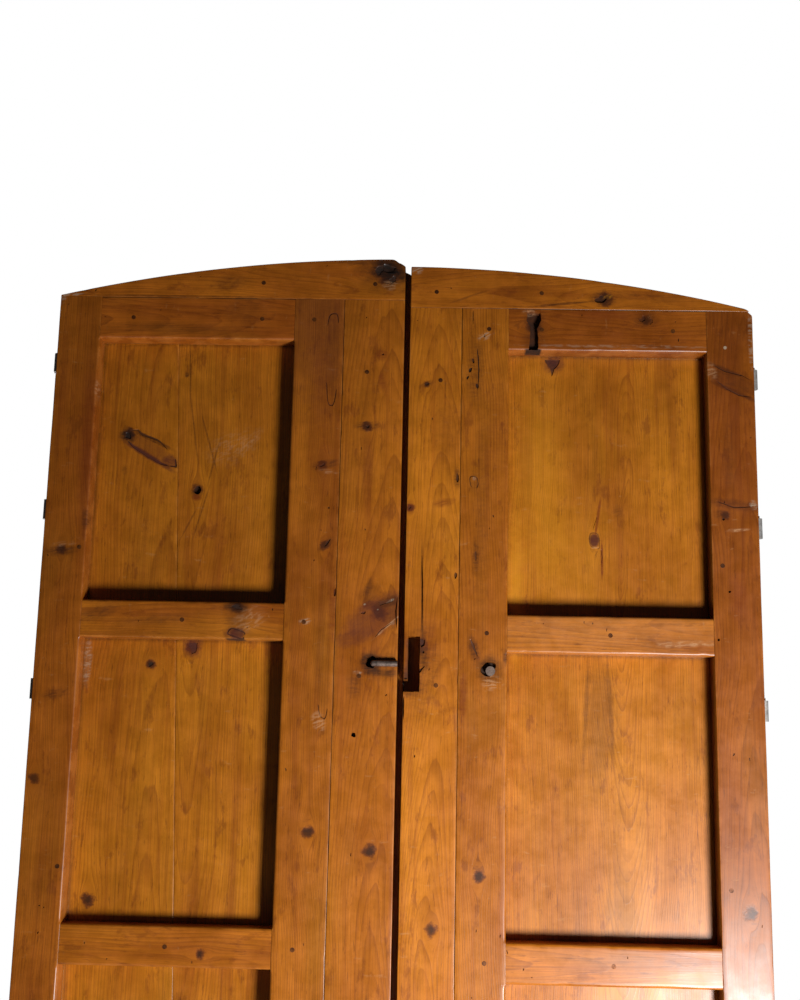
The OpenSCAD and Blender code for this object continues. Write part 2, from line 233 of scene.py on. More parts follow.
def mesh_from_rings(name, points):
    """A closed mesh through rings of points (stations, ring, 3), capped at both ends."""
    stations, ring, _ = points.shape
    flat = points.reshape(-1, 3)
    i, j = np.meshgrid(np.arange(stations - 1), np.arange(ring), indexing="ij")
    k = (j + 1) % ring
    quads = np.stack([i * ring + j, i * ring + k, (i + 1) * ring + k, (i + 1) * ring + j], -1)
    quads = quads.reshape(-1, 4)
    a, b, c, d = (flat[quads[:, corner]] for corner in range(4))
    volume = np.einsum("ij,ij->", a, np.cross(b, c)) + np.einsum("ij,ij->", a, np.cross(c, d))
    faces = quads.tolist()
    faces.append(list(range(ring))[::-1])
    faces.append(list(range((stations - 1) * ring, stations * ring)))
    if volume < 0:
        faces = [face[::-1] for face in faces]
    return add_mesh(name, flat.tolist(), faces)


def stations_between(low, high, step, extra):
    """Places along a board: evenly spaced ones and the extra ones, in order."""
    count = max(2, int(round((high - low) / step)))
    places = list(np.linspace(low, high, count + 1)) + extra
    return np.array(sorted({round(p, 6) for p in places if low <= p <= high}))


def planed(name, across, along, deep, depth_total):
    """Hollows left by the hand plane on the front face, always inwards."""
    points = np.stack([across.ravel(), along.ravel()], 1)
    broad = waves(name + "broad", points, [0.11, 0.55]).reshape(across.shape)
    short = waves(name + "short", points, [0.045, 0.16]).reshape(across.shape)
    hollow = SURFACE_SINK + PLANED_DEPTH * np.clip(0.5 + 0.35 * broad + 0.15 * short, 0, 1.4)
    front = np.clip(1 - deep / (6 * MM), 0, 1)
    return deep + hollow * front * (deep < depth_total * 0.5)


def board_rings(name, places, ends, depth, edges, wears, step, end_arris):
    """Across, along and deep of a board's ring points, one row per place along it."""
    a0, a1 = edges[0](places), edges[1](places)
    inset = np.where((places <= ends[0]) | (places >= ends[1]), end_arris, 0.0)
    inset = np.minimum(inset, (a1 - a0) * 0.2)
    a0, a1 = a0 + inset, a1 - inset
    limit = (a1 - a0) * 0.3
    r0, r1 = (np.minimum(wear(places), limit) for wear in wears)
    width = float(np.max(a1 - a0))
    across, deep = rings(a0, a1, depth, r0, r1,
                         max(5, int(width / step)), max(3, int(width / (3 * ACROSS))))
    along = np.repeat(places[:, None], across.shape[1], 1)
    deep = planed(name, across, along, deep, depth)
    return across, along, deep + inset[:, None] * np.where(deep < depth / 2, 1, -1)


def upright_board(name, side, y0, y1, edges, z_top, wears):
    """A board that runs up the leaf. Its edges are functions of z, z_top is one of x."""
    x0, x1 = (float(edge(OVER_THE_HEAD)) for edge in edges)
    foot, top = FOOT_Z[side], float(max(z_top(x0), z_top(x1), z_top((x0 + x1) / 2)))
    marks = [z + d for pair in field_heights(side) for z in pair for d in (-2 * MM, 0, 2 * MM)]
    z = stations_between(foot, top, STATION, marks + [foot + PLAIN_ARRIS, top - PLAIN_ARRIS])
    across, along, deep = board_rings(name, z, (foot, top), y1 - y0, edges, wears, ACROSS,
                                      END_ARRIS)
    # the head follows the arch: heights are stretched towards it over the last stretch
    rise = np.clip((along - (top - HEAD_STRETCH)) / HEAD_STRETCH, 0, 1)
    along = along + rise * (z_top(across) - top)
    return mesh_from_rings(name, np.stack([across, y0 + deep, along], -1))


def level_board(name, y0, y1, ends, edges, wears, end_arris):
    """A board that runs across the leaf. Its edges are functions of x."""
    extra = [ends[0] + PLAIN_ARRIS, ends[1] - PLAIN_ARRIS]
    x = stations_between(*ends, STATION * FINER, extra)
    across, along, deep = board_rings(name, x, ends, y1 - y0, edges, wears, ACROSS * FINER,
                                      end_arris)
    return mesh_from_rings(name, np.stack([along, y0 + deep, across], -1))


# ---------------------------------------------------------------- carved marks


def cutter_prism(outline, y0, y1, taper):
    """A closed cutter: an outline in X and Z, run from y0 to y1, narrowed at y1."""
    outline = np.asarray(outline, float)
    centre = outline.mean(0)
    inner = centre + (outline - centre) * taper
    n = len(outline)
    points = [(x, y0, z) for x, z in outline] + [(x, y1, z) for x, z in inner]
    faces = [[i, (i + 1) % n, n + (i + 1) % n, n + i] for i in range(n)]
    faces += [list(range(n))[::-1], list(range(n, 2 * n))]
    cutter = add_mesh("cutter", points, faces)
    shell = bmesh.new()
    shell.from_mesh(cutter.data)
    bmesh.ops.recalc_face_normals(shell, faces=shell.faces)
    shell.to_mesh(cutter.data)
    shell.free()
    return cutter


def carve(piece, front, hollows):
    """Cuts hollows, in the form of HOLLOWS, into the front of a board."""
    for outline, depth, taper, _ in hollows:
        cutter = cutter_prism(outline, front - 2 * MM, front + depth * MM, taper)
        cut = piece.modifiers.new("cut", "BOOLEAN")
        cut.operation = "DIFFERENCE"
        cut.solver = "EXACT"
        cut.object = cutter
        bpy.context.view_layer.update()
        result = bpy.data.meshes.new_from_object(
            piece.evaluated_get(bpy.context.evaluated_depsgraph_get()))
        piece.modifiers.remove(cut)
        old = piece.data
        piece.data = result
        bpy.data.meshes.remove(old)
        bpy.data.objects.remove(cutter)


# ---------------------------------------------------------------- places of the marks

SPRING = SPRING_Z["left"]
OVAL_POINTS = 22
DING_MARGIN = 9


def at(x, z):
    """A place on the door, in millimetres from the middle and from the springing line."""
    return x * MM, SPRING + z * MM


def freehand(name, corners, wobble=0.8, shares=(0.0, 0.33, 0.67)):
    """An outline through places given in millimetres, with slightly uneven sides."""
    rng = dice(name)
    outline = []
    for (ax, az), (bx, bz) in zip(corners, corners[1:] + corners[:1]):
        for t in shares:
            outline.append(at(ax + (bx - ax) * t + rng.uniform(-1, 1) * wobble,
                              az + (bz - az) * t + rng.uniform(-1, 1) * wobble))
    return outline


def rough_box(name, x0, x1, z0, z1):
    """A box outline in millimetres with slightly uneven sides."""
    corners = [(x0, z0), (x1, z0), (x1, z1), (x0, z1)]
    return freehand(name, corners, 0.7, np.linspace(0, 1, 7)[:-1])


def spot(name, x, z, half_x, half_z, lean=0.0, rough=0.16):
    """A rough oval outline round (x, z) in millimetres, leaning by lean radians."""
    phases = dice(name).uniform(0, 2 * math.pi, 4)
    outline = []
    for t in np.linspace(0, 2 * math.pi, OVAL_POINTS, endpoint=False):
        r = 1 + rough * sum(math.sin((k + 2) * t + phases[k]) / (k + 1.5) for k in range(4))
        px, pz = half_x * r * math.cos(t), half_z * r * math.sin(t)
        outline.append(at(x + px * math.cos(lean) - pz * math.sin(lean),
                          z + px * math.sin(lean) + pz * math.cos(lean)))
    return outline


def dings(name, count):
    """Small random dents and worm holes over the front of a board, away from its edges."""
    rng = dice(name + " dings")
    low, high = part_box(name)
    made = []
    for i in range(count):
        x = rng.uniform(low.x / MM + DING_MARGIN, high.x / MM - DING_MARGIN)
        z = rng.uniform(low.z / MM + DING_MARGIN, high.z / MM - DING_MARGIN) - SPRING / MM
        long_side = rng.uniform(1.4, 4.5)
        outline = spot(f"{name} ding {i}", x, z, rng.uniform(1.0, 1.9), long_side,
                       rng.uniform(-0.4, 0.4), 0.3)
        made.append((outline, rng.uniform(1.2, 2.4), 0.6, rng.uniform(0.5, 0.95)))
    return made


def split_line(name, points, width):
    """A long thin outline along points, for an open split in the wood."""
    rng = dice(name)
    places = np.array([at(*p) for p in points])
    t = np.linspace(0, 1, 13)
    line = np.stack([np.interp(t * (len(points) - 1), range(len(points)), places[:, k])
                     for k in (0, 1)], 1)
    run = line[-1] - line[0]
    sideways = np.array([-run[1], run[0]]) / np.linalg.norm(run)
    line += rng.uniform(-0.3, 0.3, 13)[:, None] * MM * sideways
    half = width * MM / 2 * np.sqrt(np.clip(1 - (2 * t - 1) ** 2, 0.06, 1))
    left, right = line + half[:, None] * sideways, line - half[:, None] * sideways
    return [tuple(p) for p in np.concatenate([left, right[::-1]])]


def loop_groove(name, start, end, half_width, line, from_turn=0.02, to_turn=0.98):
    """A narrow groove round a long oval between two places, open for part of the turn."""
    rng = dice(name)
    a, b = np.array(at(*start)), np.array(at(*end))
    axis = (b - a) / np.linalg.norm(b - a)
    side = np.array([-axis[1], axis[0]])
    middle, half = (a + b) / 2, np.linalg.norm(b - a) / 2
    turns = 2 * math.pi * np.linspace(from_turn, to_turn, 41)
    phases = rng.uniform(0, 2 * math.pi, 3)
    wobble = 1 + 0.05 * sum(np.sin((k + 2) * turns + phases[k]) for k in range(3))
    power = 0.62
    u = np.sign(np.cos(turns)) * np.abs(np.cos(turns)) ** power
    v = np.sign(np.sin(turns)) * np.abs(np.sin(turns)) ** power
    taper = np.sqrt(np.clip(1 - (2 * np.linspace(0, 1, 41) - 1) ** 8, 0.05, 1))
    sides = []
    for offset in (0.5, -0.5):
        shift = offset * line * MM * taper
        along = (half * wobble + shift) * u
        across = (half_width * MM * wobble + shift) * v
        sides.append(middle + along[:, None] * axis + across[:, None] * side)
    return [tuple(p) for p in np.concatenate([sides[0], sides[1][::-1]])]


# board: (outline, depth in mm, width of the bottom as a share, darkness of the hollow).
# Places are those of at().
HOLLOWS = {
    "left_meeting_stile": [
        (spot("rod hole", -45, -683, 9.5, 11), 30, 0.9, 1),
        (freehand("scar a", [(-38, -574), (-6, -566), (-8, -574), (-34, -582)]), 1.5, 0.8, 0.5),
        (spot("scar d", -62, -594, 5, 4, 0.2, 0.3), 2.2, 0.6, 0.6),
        (split_line("scar edge", [(-44, -642), (-30, -624), (-4, -606)], 3.4), 1.3, 0.7, 0.35),
        (spot("knot pit", -63, -247, 5.5, 3.5, 0.3, 0.3), 2, 0.6, 0.8),
        (spot("lower hole", -74, -812, 4.2, 4.6), 9, 0.8, 1),
        (split_line("edge tear", [(-1, -556), (-4, -590), (-1, -632)], 5), 5, 0.4, 0.6),
        (spot("small hole", -38, -107, 2.4, 2.8, 0, 0.3), 2, 0.7, 0.8),
    ],
    "left_inner_stile": [
        (spot("tear a", -131, -467, 11, 2.6, 0.9, 0.3), 1.8, 0.7, 0.9),
        (spot("tear b", -131, -402, 2.4, 2.4), 2, 0.7, 0.8),
        (spot("knot chip", -145, -322, 7, 3, 0.4, 0.3), 1.5, 0.7, 0.8),
        (spot("seam chip", -115, -558, 2.2, 11), 3, 0.6, 1),
        (loop_groove("patch top", (-132, -24), (-134, -201), 11.5, 2.6, -0.17, 0.15), 1.5,
         1, 0.75),
        (loop_groove("patch foot", (-134, -201), (-132, -24), 11.5, 2.6, -0.13, 0.17), 1.5,
         1, 0.75),
        (loop_groove("patch low", (-129, -616), (-132, -780), 12, 2.4, -0.1, 0.12), 1.4,
         1, 0.65),
    ],
    "left_head_board": [
        (spot("char a", -30, 63, 19, 9, -0.1, 0.3), 2.6, 0.6, 1),
        (spot("char b", -48, 60, 13, 12, 0.3, 0.3), 1.6, 0.6, 0.9),
        (spot("char c", -22, 41, 10, 9, 0.5, 0.3), 1.5, 0.6, 0.8),
    ],
    "left_middle_board": [
        (spot("knot hole", -383, -365, 8.6, 8.6, 0, 0.12), 7, 0.75, 1),
        (freehand("low knot", [(-386, -650), (-366, -650), (-368, -668), (-378, -676)]),
         1.6, 0.8, 0.8),
    ],
    "left_outer_board": [
        (spot("gouge end", -520, -262, 9, 7, -0.4, 0.3), 2.4, 0.6, 0.9),
        (split_line("gouge top", [(-520, -250), (-505, -248), (-497, -258), (-474, -266),
                                  (-458, -271), (-438, -292)], 5), 2, 0.8, 0.8),
        (split_line("gouge foot", [(-527, -268), (-512, -282), (-480, -301), (-452, -317),
                                   (-433, -323)], 6.2), 2.2, 0.8, 0.9),
        (split_line("gouge tip", [(-440, -320), (-425, -322), (-427, -304)], 6), 2, 0.8, 0.9),
        (spot("low knot b", -452, -692, 6, 5, 0.2, 0.3), 1.6, 0.7, 0.7),
    ],
    "left_mid_rail_1": [
        (spot("rail knot a", -292, -588, 12, 5, -0.1, 0.3), 1.6, 0.7, 0.85),
        (loop_groove("rail knot rim", (-305, -632), (-276, -640), 7, 2.6), 1.6, 1, 0.85),
    ],
    "right_meeting_stile": [
        (rough_box("slot", 20.5, 41.5, -734, -635), 42, 1, 0.8),
        (rough_box("slot mouth", 2, 24, -734, -714), 42, 1, 0.85),
        (rough_box("slot cheek", 14.5, 21.5, -712, -640), 3, 1, 0.35),
        (freehand("slot damage", [(41, -637), (51, -641), (50, -652), (44, -655), (41, -650)]),
         3.5, 0.8, 0.75),
        (spot("slot damage b", 48, -663, 2.4, 2.4), 3, 0.8, 1),
        (freehand("slot damage c", [(40, -694), (51, -687), (50, -690), (41, -702)]), 3, 0.8,
         0.9),
        (split_line("split", [(42, -470), (44, -550), (45, -636)], 3), 6, 0.4, 1),
        (split_line("gap edge tear", [(14, -735), (13, -760), (14, -790)], 5), 4, 0.5, 0.8),
        (spot("knot top", 46, -164, 6, 2.6, 0.5, 0.3), 1.6, 0.7, 0.7),
        (spot("knot low", 18, -399, 3, 5, 0, 0.3), 1.6, 0.7, 0.8),
        (spot("seam chip a", 105, -342, 3, 12, 0, 0.2), 2.6, 0.6, 0.9),
        (spot("seam chip b", 104, -523, 3, 9, 0, 0.2), 2.6, 0.6, 0.8),
    ],
    "right_closing_board": [(rough_box("slot floor", 9, 43, -736, -633), 6, 1, 0.3)],
    "right_inner_stile": [
        (spot("pit", 164.5, -691, 14, 14), 9, 0.8, 1),
        (split_line("worm", [(139, -84), (141, -104), (143, -135), (141, -188)], 3), 2,
         0.7, 0.95),
        (spot("worm a", 132, -117, 2.4, 5.5, 0.2), 2.4, 0.8, 1),
        (spot("worm b", 127, -135, 3.4, 5.5, -0.2), 2.6, 0.8, 1),
        (spot("worm c", 122, -150, 2.4, 4, -0.4), 2.4, 0.8, 1),
        (spot("worm d", 140, -166, 3, 6, 0.2), 2.4, 0.8, 1),
        (split_line("worm e", [(131, -14), (131, -48)], 2.2), 1.6, 0.7, 0.8),
        (spot("scar low", 138, -652, 3, 17, 0.35, 0.3), 1.8, 0.7, 0.8),
        (spot("dent a", 140, -486, 2.4, 11, 0, 0.3), 1.5, 0.7, 0.6),
        (loop_groove("ring mark", (133, -338), (138, -362), 6.5, 1.9, 0.04, 0.84), 1.4, 1,
         0.7),
    ],
    "right_top_rail": [
        (freehand("gouge", [(233, -16), (258, -18), (260, -36), (252, -52), (254, -72),
                            (254, -96), (236, -96), (238, -66), (239, -50), (231, -36)]),
         12, 0.85, 1),
        (spot("rail knot", 450, -31, 6, 8, 0, 0.4), 1.8, 0.7, 0.65),
        (spot("rail knot b", 466, -35, 5, 6, 0, 0.4), 1.5, 0.7, 0.55),
    ],
    "right_head_board": [
        (spot("head knot", 372, 7, 11, 9, 0, 0.25), 3.6, 0.8, 1),
    ],
    "right_middle_board": [
        (loop_groove("field knot rim", (360, -434), (363, -463), 9, 1.6), 1.3, 1, 0.5),
        (freehand("field knot b", [(268, -99), (300, -99), (297, -110), (289, -120),
                                   (283, -137), (280, -118), (272, -109)]), 2, 0.85, 0.9),
        (split_line("crack up", [(368, -398), (362, -418), (358, -432)], 1.3), 2, 0.6, 0.8),
        (split_line("crack down", [(373, -460), (376, -480), (374, -497)], 1.3), 2, 0.6, 0.8),
    ],
    "right_hinge_stile": [
        (split_line("patch top", [(576, -118), (600, -131), (636, -139), (654, -150)], 2.6),
         1.5, 0.8, 0.8),
        (split_line("patch foot", [(581, -146), (602, -164), (628, -178), (654, -182)], 3.4),
         1.6, 0.8, 0.9),
        (split_line("step", [(571, -376), (612, -390), (652, -388)], 3), 1.6, 0.7, 0.7),
        (spot("hole b", 591, -411, 2.6, 3), 3, 0.8, 0.9),
        (spot("hole c", 599, -544, 2.4, 2.4), 7, 0.8, 1),
        (spot("hole d", 577, -631, 2.4, 2.4), 7, 0.8, 1),
    ],
}

# board: how many small random dents its front has
DENTED = {"hinge_stile": 9, "inner_stile": 10, "meeting_stile": 10, "top_rail": 3,
          "mid_rail_1": 4, "mid_rail_2": 4, "mid_rail_3": 4, "bottom_rail": 4, "head_board": 3}

# board: (x, z, radius) of each knot in mm, as for at()
KNOTS = {
    "left_head_board": [(-34, 54, 22)],
    "left_hinge_stile": [(-620, -487, 9), (-640, -900, 10)],
    "left_inner_stile": [(-145, -321, 9), (-136, -472, 9), (-150, -980, 11)],
    "left_meeting_stile": [(-63, -247, 9), (-34, -592, 16), (-40, -1010, 12)],
    "left_outer_board": [(-519, -258, 11), (-452, -692, 9), (-540, -1110, 12)],
    "left_middle_board": [(-383, -365, 10), (-377, -660, 11), (-300, -1330, 13)],
    "left_mid_rail_1": [(-292, -588, 10), (-291, -635, 12)],
    "left_mid_rail_2": [(-330, -1190, 9)],
    "right_head_board": [(380, 8, 14)],
    "right_top_rail": [(244, -50, 13), (457, -33, 10)],
    "right_hinge_stile": [(595, -405, 8), (620, -1100, 12)],
    "right_inner_stile": [(150, -1050, 11)],
    "right_meeting_stile": [(46, -164, 6), (20, -399, 8), (70, -1140, 12)],
    "right_middle_board": [(361, -448, 10), (285, -110, 10), (470, -1290, 14)],
    "right_closing_board": [(100, -900, 12)],
    "right_mid_rail_3": [(330, -1750, 10)],
}

TINTS = {
    "char": (0.014, 0.009, 0.007), "brown": (0.080, 0.022, 0.006),
    "red": (0.190, 0.034, 0.006), "pale": (0.62, 0.34, 0.17),
    "gold": (0.74, 0.3, 0.015), "white": (0.6, 0.5, 0.36),
    "plum": (0.110, 0.024, 0.014),
}

# board: (x, z, half width, half height in mm, lean, tint, strength, softness, brokenness)
STAINS = {
    "left_head_board": [
        (-40, 54, 44, 30, -0.2, "brown", 0.8, 0.55, 0.3),
        (-28, 64, 36, 19, -0.1, "char", 0.97, 0.45, 0.3),
        (-20, 44, 22, 14, 0.3, "char", 0.8, 0.45, 0.6),
        (-90, 76, 50, 6, 0, "brown", 0.6, 0.6, 0.3),
        (-24, 30, 16, 10, 0, "pale", 0.35, 0.4, 1),
        (-332, 32, 34, 13, 0.1, "brown", 0.45, 0.6, 0.4),
        (-640, 3, 22, 3, 0.1, "white", 0.6, 0.5, 1),
        (-420, 3, 160, 2, 0, "brown", 0.6, 0.4, 0.3),
    ],
    "left_top_rail": [
        (-300, -22, 40, 26, 0, "brown", 0.35, 0.7, 0.4),
        (-430, -60, 130, 9, 0, "brown", 0.35, 0.7, 0.4),
    ],
    "left_hinge_stile": [
        (-620, -490, 26, 8, 0.1, "brown", 0.7, 0.6, 0.5),
        (-616, -478, 20, 4, 0.1, "pale", 0.25, 0.6, 0.9),
        (-586, -300, 12, 160, 0.02, "red", 0.6, 0.8, 0.2),
        (-640, -180, 10, 120, 0, "red", 0.35, 0.8, 0.2),
        (-580, -432, 7, 16, 0, "brown", 0.7, 0.5, 0.4),
        (-574, -182, 5, 16, 0, "pale", 0.35, 0.5, 0.9),
        (-612, -750, 22, 8, 0.2, "brown", 0.6, 0.6, 0.6),
        (-650, -4, 4, 9, 0, "white", 0.45, 0.5, 1),
        (-556, -604, 6, 12, 0, "white", 0.4, 0.6, 1),
    ],
    "left_inner_stile": [
        (-133, -112, 11, 92, 0, "brown", 0.22, 0.4, 0.2),
        (-142, -321, 24, 8, 0.2, "brown", 0.7, 0.5, 0.5),
        (-134, -334, 16, 4, -0.1, "pale", 0.4, 0.5, 0.9),
        (-134, -470, 15, 6, 0.8, "brown", 0.8, 0.5, 0.4),
        (-150, -250, 20, 150, 0, "red", 0.35, 0.8, 0.2),
        (-160, -30, 60, 150, 0, "plum", 0.42, 0.7, 0.1),
        (-118, -590, 8, 60, 0, "red", 0.6, 0.7, 0.3),
        (-131, -700, 13, 86, 0, "brown", 0.2, 0.4, 0.2),
        (-137, -790, 10, 16, 0.4, "pale", 0.45, 0.5, 1),
        (-168, -612, 9, 5, 0.2, "white", 0.4, 0.5, 1),
    ],
    "left_meeting_stile": [
        (-40, -602, 66, 30, 0.6, "plum", 0.58, 0.35, 0.15),
        (-78, -640, 30, 14, 0.3, "plum", 0.35, 0.5, 0.3),
        (-52, -562, 20, 15, 0.9, "brown", 0.45, 0.5, 0.3),
        (-48, -580, 15, 8, 0.2, "plum", 0.6, 0.4, 0.3),
        (-54, -548, 5, 17, -0.2, "brown", 0.55, 0.5, 0.3),
        (-18, -574, 26, 8, 0.35, "brown", 0.75, 0.4, 0.2),
        (-8, -596, 12, 24, 0, "brown", 0.4, 0.5, 0.3),
        (-20, -620, 30, 1.8, 0.75, "pale", 0.6, 0.5, 0.8),
        (-60, -579, 2, 1.4, 0.4, "white", 0.5, 0.5, 0.3),
        (-36, -588, 1.8, 1.2, 0.4, "white", 0.4, 0.5, 0.3),
        (-9, -612, 4, 3, 0.5, "white", 0.6, 0.5, 0.8),
        (-14, -572, 7, 2, 0.5, "white", 0.5, 0.5, 0.8),
        (-64, -246, 20, 8, 0.1, "brown", 0.8, 0.5, 0.6),
        (-40, -108, 12, 9, 0, "red", 0.6, 0.6, 0.4),
        (-38, -160, 6, 20, 0.2, "red", 0.6, 0.6, 0.3),
        (-60, -330, 9, 70, 0, "red", 0.35, 0.7, 0.3),
        (-20, -690, 34, 20, 0, "brown", 0.65, 0.6, 0.4),
        (-46, -683, 16, 19, 0, "char", 0.8, 0.4, 0.3),
        (-26, -702, 26, 5, 0, "char", 0.6, 0.5, 0.4),
        (-74, -722, 12, 24, 0, "brown", 0.5, 0.6, 0.5),
        (-70, -702, 7, 3, 0, "white", 0.5, 0.5, 0.9),
    ],
    "left_mid_rail_1": [
        (-292, -588, 20, 9, 0, "char", 0.85, 0.4, 0.3),
        (-270, -612, 26, 18, 0.5, "pale", 0.42, 0.6, 0.9),
        (-292, -612, 20, 30, 0, "brown", 0.45, 0.5, 0.4),
        (-292, -636, 20, 10, 0, "plum", 0.8, 0.4, 0.4),
        (-545, -602, 34, 12, 0.3, "brown", 0.55, 0.6, 0.4),
        (-430, -612, 60, 8, 0.1, "brown", 0.4, 0.7, 0.4),
    ],
    "left_outer_board": [
        (-475, -288, 52, 14, -0.58, "plum", 0.36, 0.35, 0.2),
        (-481, -300, 52, 5, -0.53, "plum", 0.85, 0.4, 0.2),
        (-476, -268, 46, 4, -0.45, "brown", 0.8, 0.4, 0.3),
        (-521, -262, 15, 12, -0.4, "char", 0.8, 0.4, 0.3),
        (-438, -312, 14, 12, -0.4, "plum", 0.75, 0.4, 0.3),
        (-523, -330, 5, 9, 0.3, "brown", 0.35, 0.6, 0.6),
        (-569, -690, 7, 38, 0, "white", 0.38, 0.5, 0.8),
        (-470, -500, 30, 90, 0, "brown", 0.18, 0.8, 0.3),
    ],
    "left_middle_board": [
        (-383, -367, 12, 13, 0, "brown", 0.45, 0.35, 0.2),
        (-383, -379, 9, 6, 0, "red", 0.8, 0.5, 0.2),
        (-408, -130, 1.6, 46, 0.06, "brown", 0.7, 0.4, 0.3),
        (-396, -240, 1.6, 70, 0.16, "brown", 0.55, 0.4, 0.3),
        (-366, -270, 1.6, 60, 0.3, "brown", 0.55, 0.4, 0.3),
        (-354, -310, 1.6, 44, -0.22, "brown", 0.55, 0.4, 0.3),
        (-374, -410, 1.6, 50, -0.26, "brown", 0.55, 0.4, 0.3),
        (-396, -430, 1.8, 30, -0.45, "brown", 0.55, 0.4, 0.3),
        (-414, -141, 4, 5, 0, "brown", 0.8, 0.4, 0.3),
        (-321, -281, 40, 26, 0.4, "pale", 0.2, 0.6, 0.9),
        (-284, -268, 26, 8, 0.9, "pale", 0.24, 0.6, 0.9),
        (-300, -430, 40, 110, 0, "red", 0.16, 0.8, 0.2),
        (-376, -655, 17, 22, 0, "plum", 0.75, 0.4, 0.2),
    ],
    "right_hinge_stile": [
        (618, -152, 48, 17, -0.42, "brown", 0.58, 0.3, 0.4),
        (602, -128, 32, 4, -0.4, "brown", 0.8, 0.5, 0.3),
        (622, -172, 40, 4, -0.42, "brown", 0.85, 0.5, 0.3),
        (612, -384, 46, 9, -0.12, "brown", 0.6, 0.5, 0.3),
        (612, -270, 60, 120, 0, "red", 0.3, 0.4, 0.1),
        (604, -300, 10, 60, 0, "brown", 0.3, 0.7, 0.4),
        (617, -431, 18, 3, 0.1, "pale", 0.6, 0.5, 0.8),
        (576, -130, 9, 14, 0.2, "pale", 0.4, 0.5, 0.9),
        (590, -402, 14, 10, 0.2, "brown", 0.55, 0.5, 0.5),
        (646, -384, 6, 8, 0, "white", 0.5, 0.5, 0.9),
        (614, -556, 12, 40, 0, "red", 0.45, 0.7, 0.3),
        (651, -60, 4, 60, 0, "white", 0.3, 0.5, 1),
        (603, -85, 3, 3, 0, "white", 0.8, 0.3, 0.2),
    ],
    "right_mid_rail_1": [
        # paler varnish over the whole rail, with painted sheen of the key light
        (380, -616, 210, 40, 0, "pale", 0.16, 0.6, 0.3),
        # painted sheen near the rail's right end, where the key light glints
        (520, -640, 50, 5, 0.05, "pale", 0.6, 0.6, 0.8),
        (540, -648, 36, 6, -0.1, "red", 0.5, 0.6, 0.6),
        (470, -606, 60, 4, 0.1, "brown", 0.3, 0.6, 0.5),
    ],
    "right_head_board": [
        (376, 8, 20, 14, 0, "brown", 0.8, 0.5, 0.4),
        (394, 9, 16, 11, 0, "brown", 0.45, 0.5, 0.9),
        (386, 12, 9, 4, 0.4, "gold", 0.45, 0.5, 0.9),
        (300, -3, 55, 2.4, 0.1, "brown", 0.75, 0.5, 0.3),
        (120, 8, 40, 2, 0.35, "brown", 0.45, 0.5, 0.4),
        (24, 62, 12, 8, 0.3, "white", 0.45, 0.5, 1),
        (460, 12, 70, 7, -0.05, "brown", 0.3, 0.6, 0.5),
    ],
    "right_top_rail": [
        (245, -56, 20, 46, 0, "brown", 0.55, 0.5, 0.4),
        (236, -20, 12, 6, 0, "pale", 0.4, 0.4, 0.9),
        (457, -33, 20, 14, 0, "brown", 0.6, 0.5, 0.5),
        (380, -20, 60, 12, 0, "red", 0.4, 0.6, 0.3),
        # a pale line on the rail's lower arris: worn edge with a painted glint
        (400, -85, 170, 3, 0, "white", 0.2, 0.5, 0.9),
    ],
    "right_middle_board": [
        (285, -108, 20, 18, 0.3, "plum", 0.75, 0.4, 0.3),
        (215, -540, 12, 110, 0, "gold", 0.6, 0.8, 0.1),
        (260, -330, 40, 160, 0, "gold", 0.3, 0.8, 0.1),
        (330, -480, 60, 90, 0, "gold", 0.22, 0.8, 0.1),
        (361, -448, 9, 13, 0, "plum", 0.9, 0.4, 0.2),
        (363, -462, 7, 2, 0.1, "pale", 0.4, 0.4, 0.3),
        (368, -405, 2.4, 34, -0.15, "red", 0.8, 0.4, 0.2),
        (375, -485, 2.4, 36, 0, "red", 0.85, 0.4, 0.2),
        (405, -392, 9, 12, 0.2, "brown", 0.35, 0.6, 0.6),
        (366, -775, 22, 105, 0, "brown", 0.34, 0.5, 0.1),
        (344, -760, 4, 90, -0.05, "brown", 0.4, 0.5, 0.2),
        (388, -760, 4, 90, 0.05, "brown", 0.4, 0.5, 0.2),
    ],
    "right_meeting_stile": [
        (44, -690, 30, 66, 0, "brown", 0.5, 0.7, 0.5),
        (16, -680, 8, 44, 0, "red", 0.35, 0.5, 0.6),
        (15, -706, 10, 12, 0, "brown", 0.75, 0.5, 0.5),
        (46, -650, 9, 14, 0, "plum", 0.6, 0.4, 0.3),
        (48, -660, 8, 30, 0.1, "char", 0.55, 0.5, 0.4),
        (24, -724, 18, 18, 0, "brown", 0.7, 0.5, 0.4),
        (60, -640, 12, 40, 0, "red", 0.35, 0.7, 0.4),
        (44, -560, 2, 90, 0.02, "char", 0.55, 0.5, 0.3),
        (46, -164, 14, 5, 0.4, "brown", 0.5, 0.5, 0.5),
        (81, -389, 18, 7, 0.2, "red", 0.6, 0.5, 0.4),
        (20, -399, 8, 12, 0, "red", 0.7, 0.5, 0.4),
        (105, -342, 6, 20, 0, "brown", 0.6, 0.5, 0.4),
        (86, -250, 20, 90, 0, "brown", 0.2, 0.8, 0.4),
    ],
    "right_inner_stile": [
        (136, -135, 14, 60, 0, "brown", 0.5, 0.6, 0.5),
        (150, -400, 12, 200, 0, "brown", 0.3, 0.8, 0.4),
        (180, -250, 16, 120, 0, "red", 0.35, 0.8, 0.3),
        (140, -486, 6, 30, 0, "brown", 0.6, 0.5, 0.4),
        (135, -352, 7, 16, 0, "brown", 0.3, 0.5, 0.5),
        (136, -343, 3, 3, 0, "white", 0.4, 0.5, 0.6),
        (155, -68, 14, 6, 0.5, "white", 0.35, 0.5, 1),
        (138, -655, 8, 26, 0.3, "brown", 0.7, 0.5, 0.4),
        (166, -691, 22, 22, 0, "char", 0.65, 0.5, 0.3),
        (172, -716, 16, 12, 0, "pale", 0.45, 0.5, 1),
        (196, -669, 5, 12, 0, "brown", 0.8, 0.5, 0.3),
        (120, -740, 6, 40, 0, "red", 0.6, 0.6, 0.3),
    ],
}

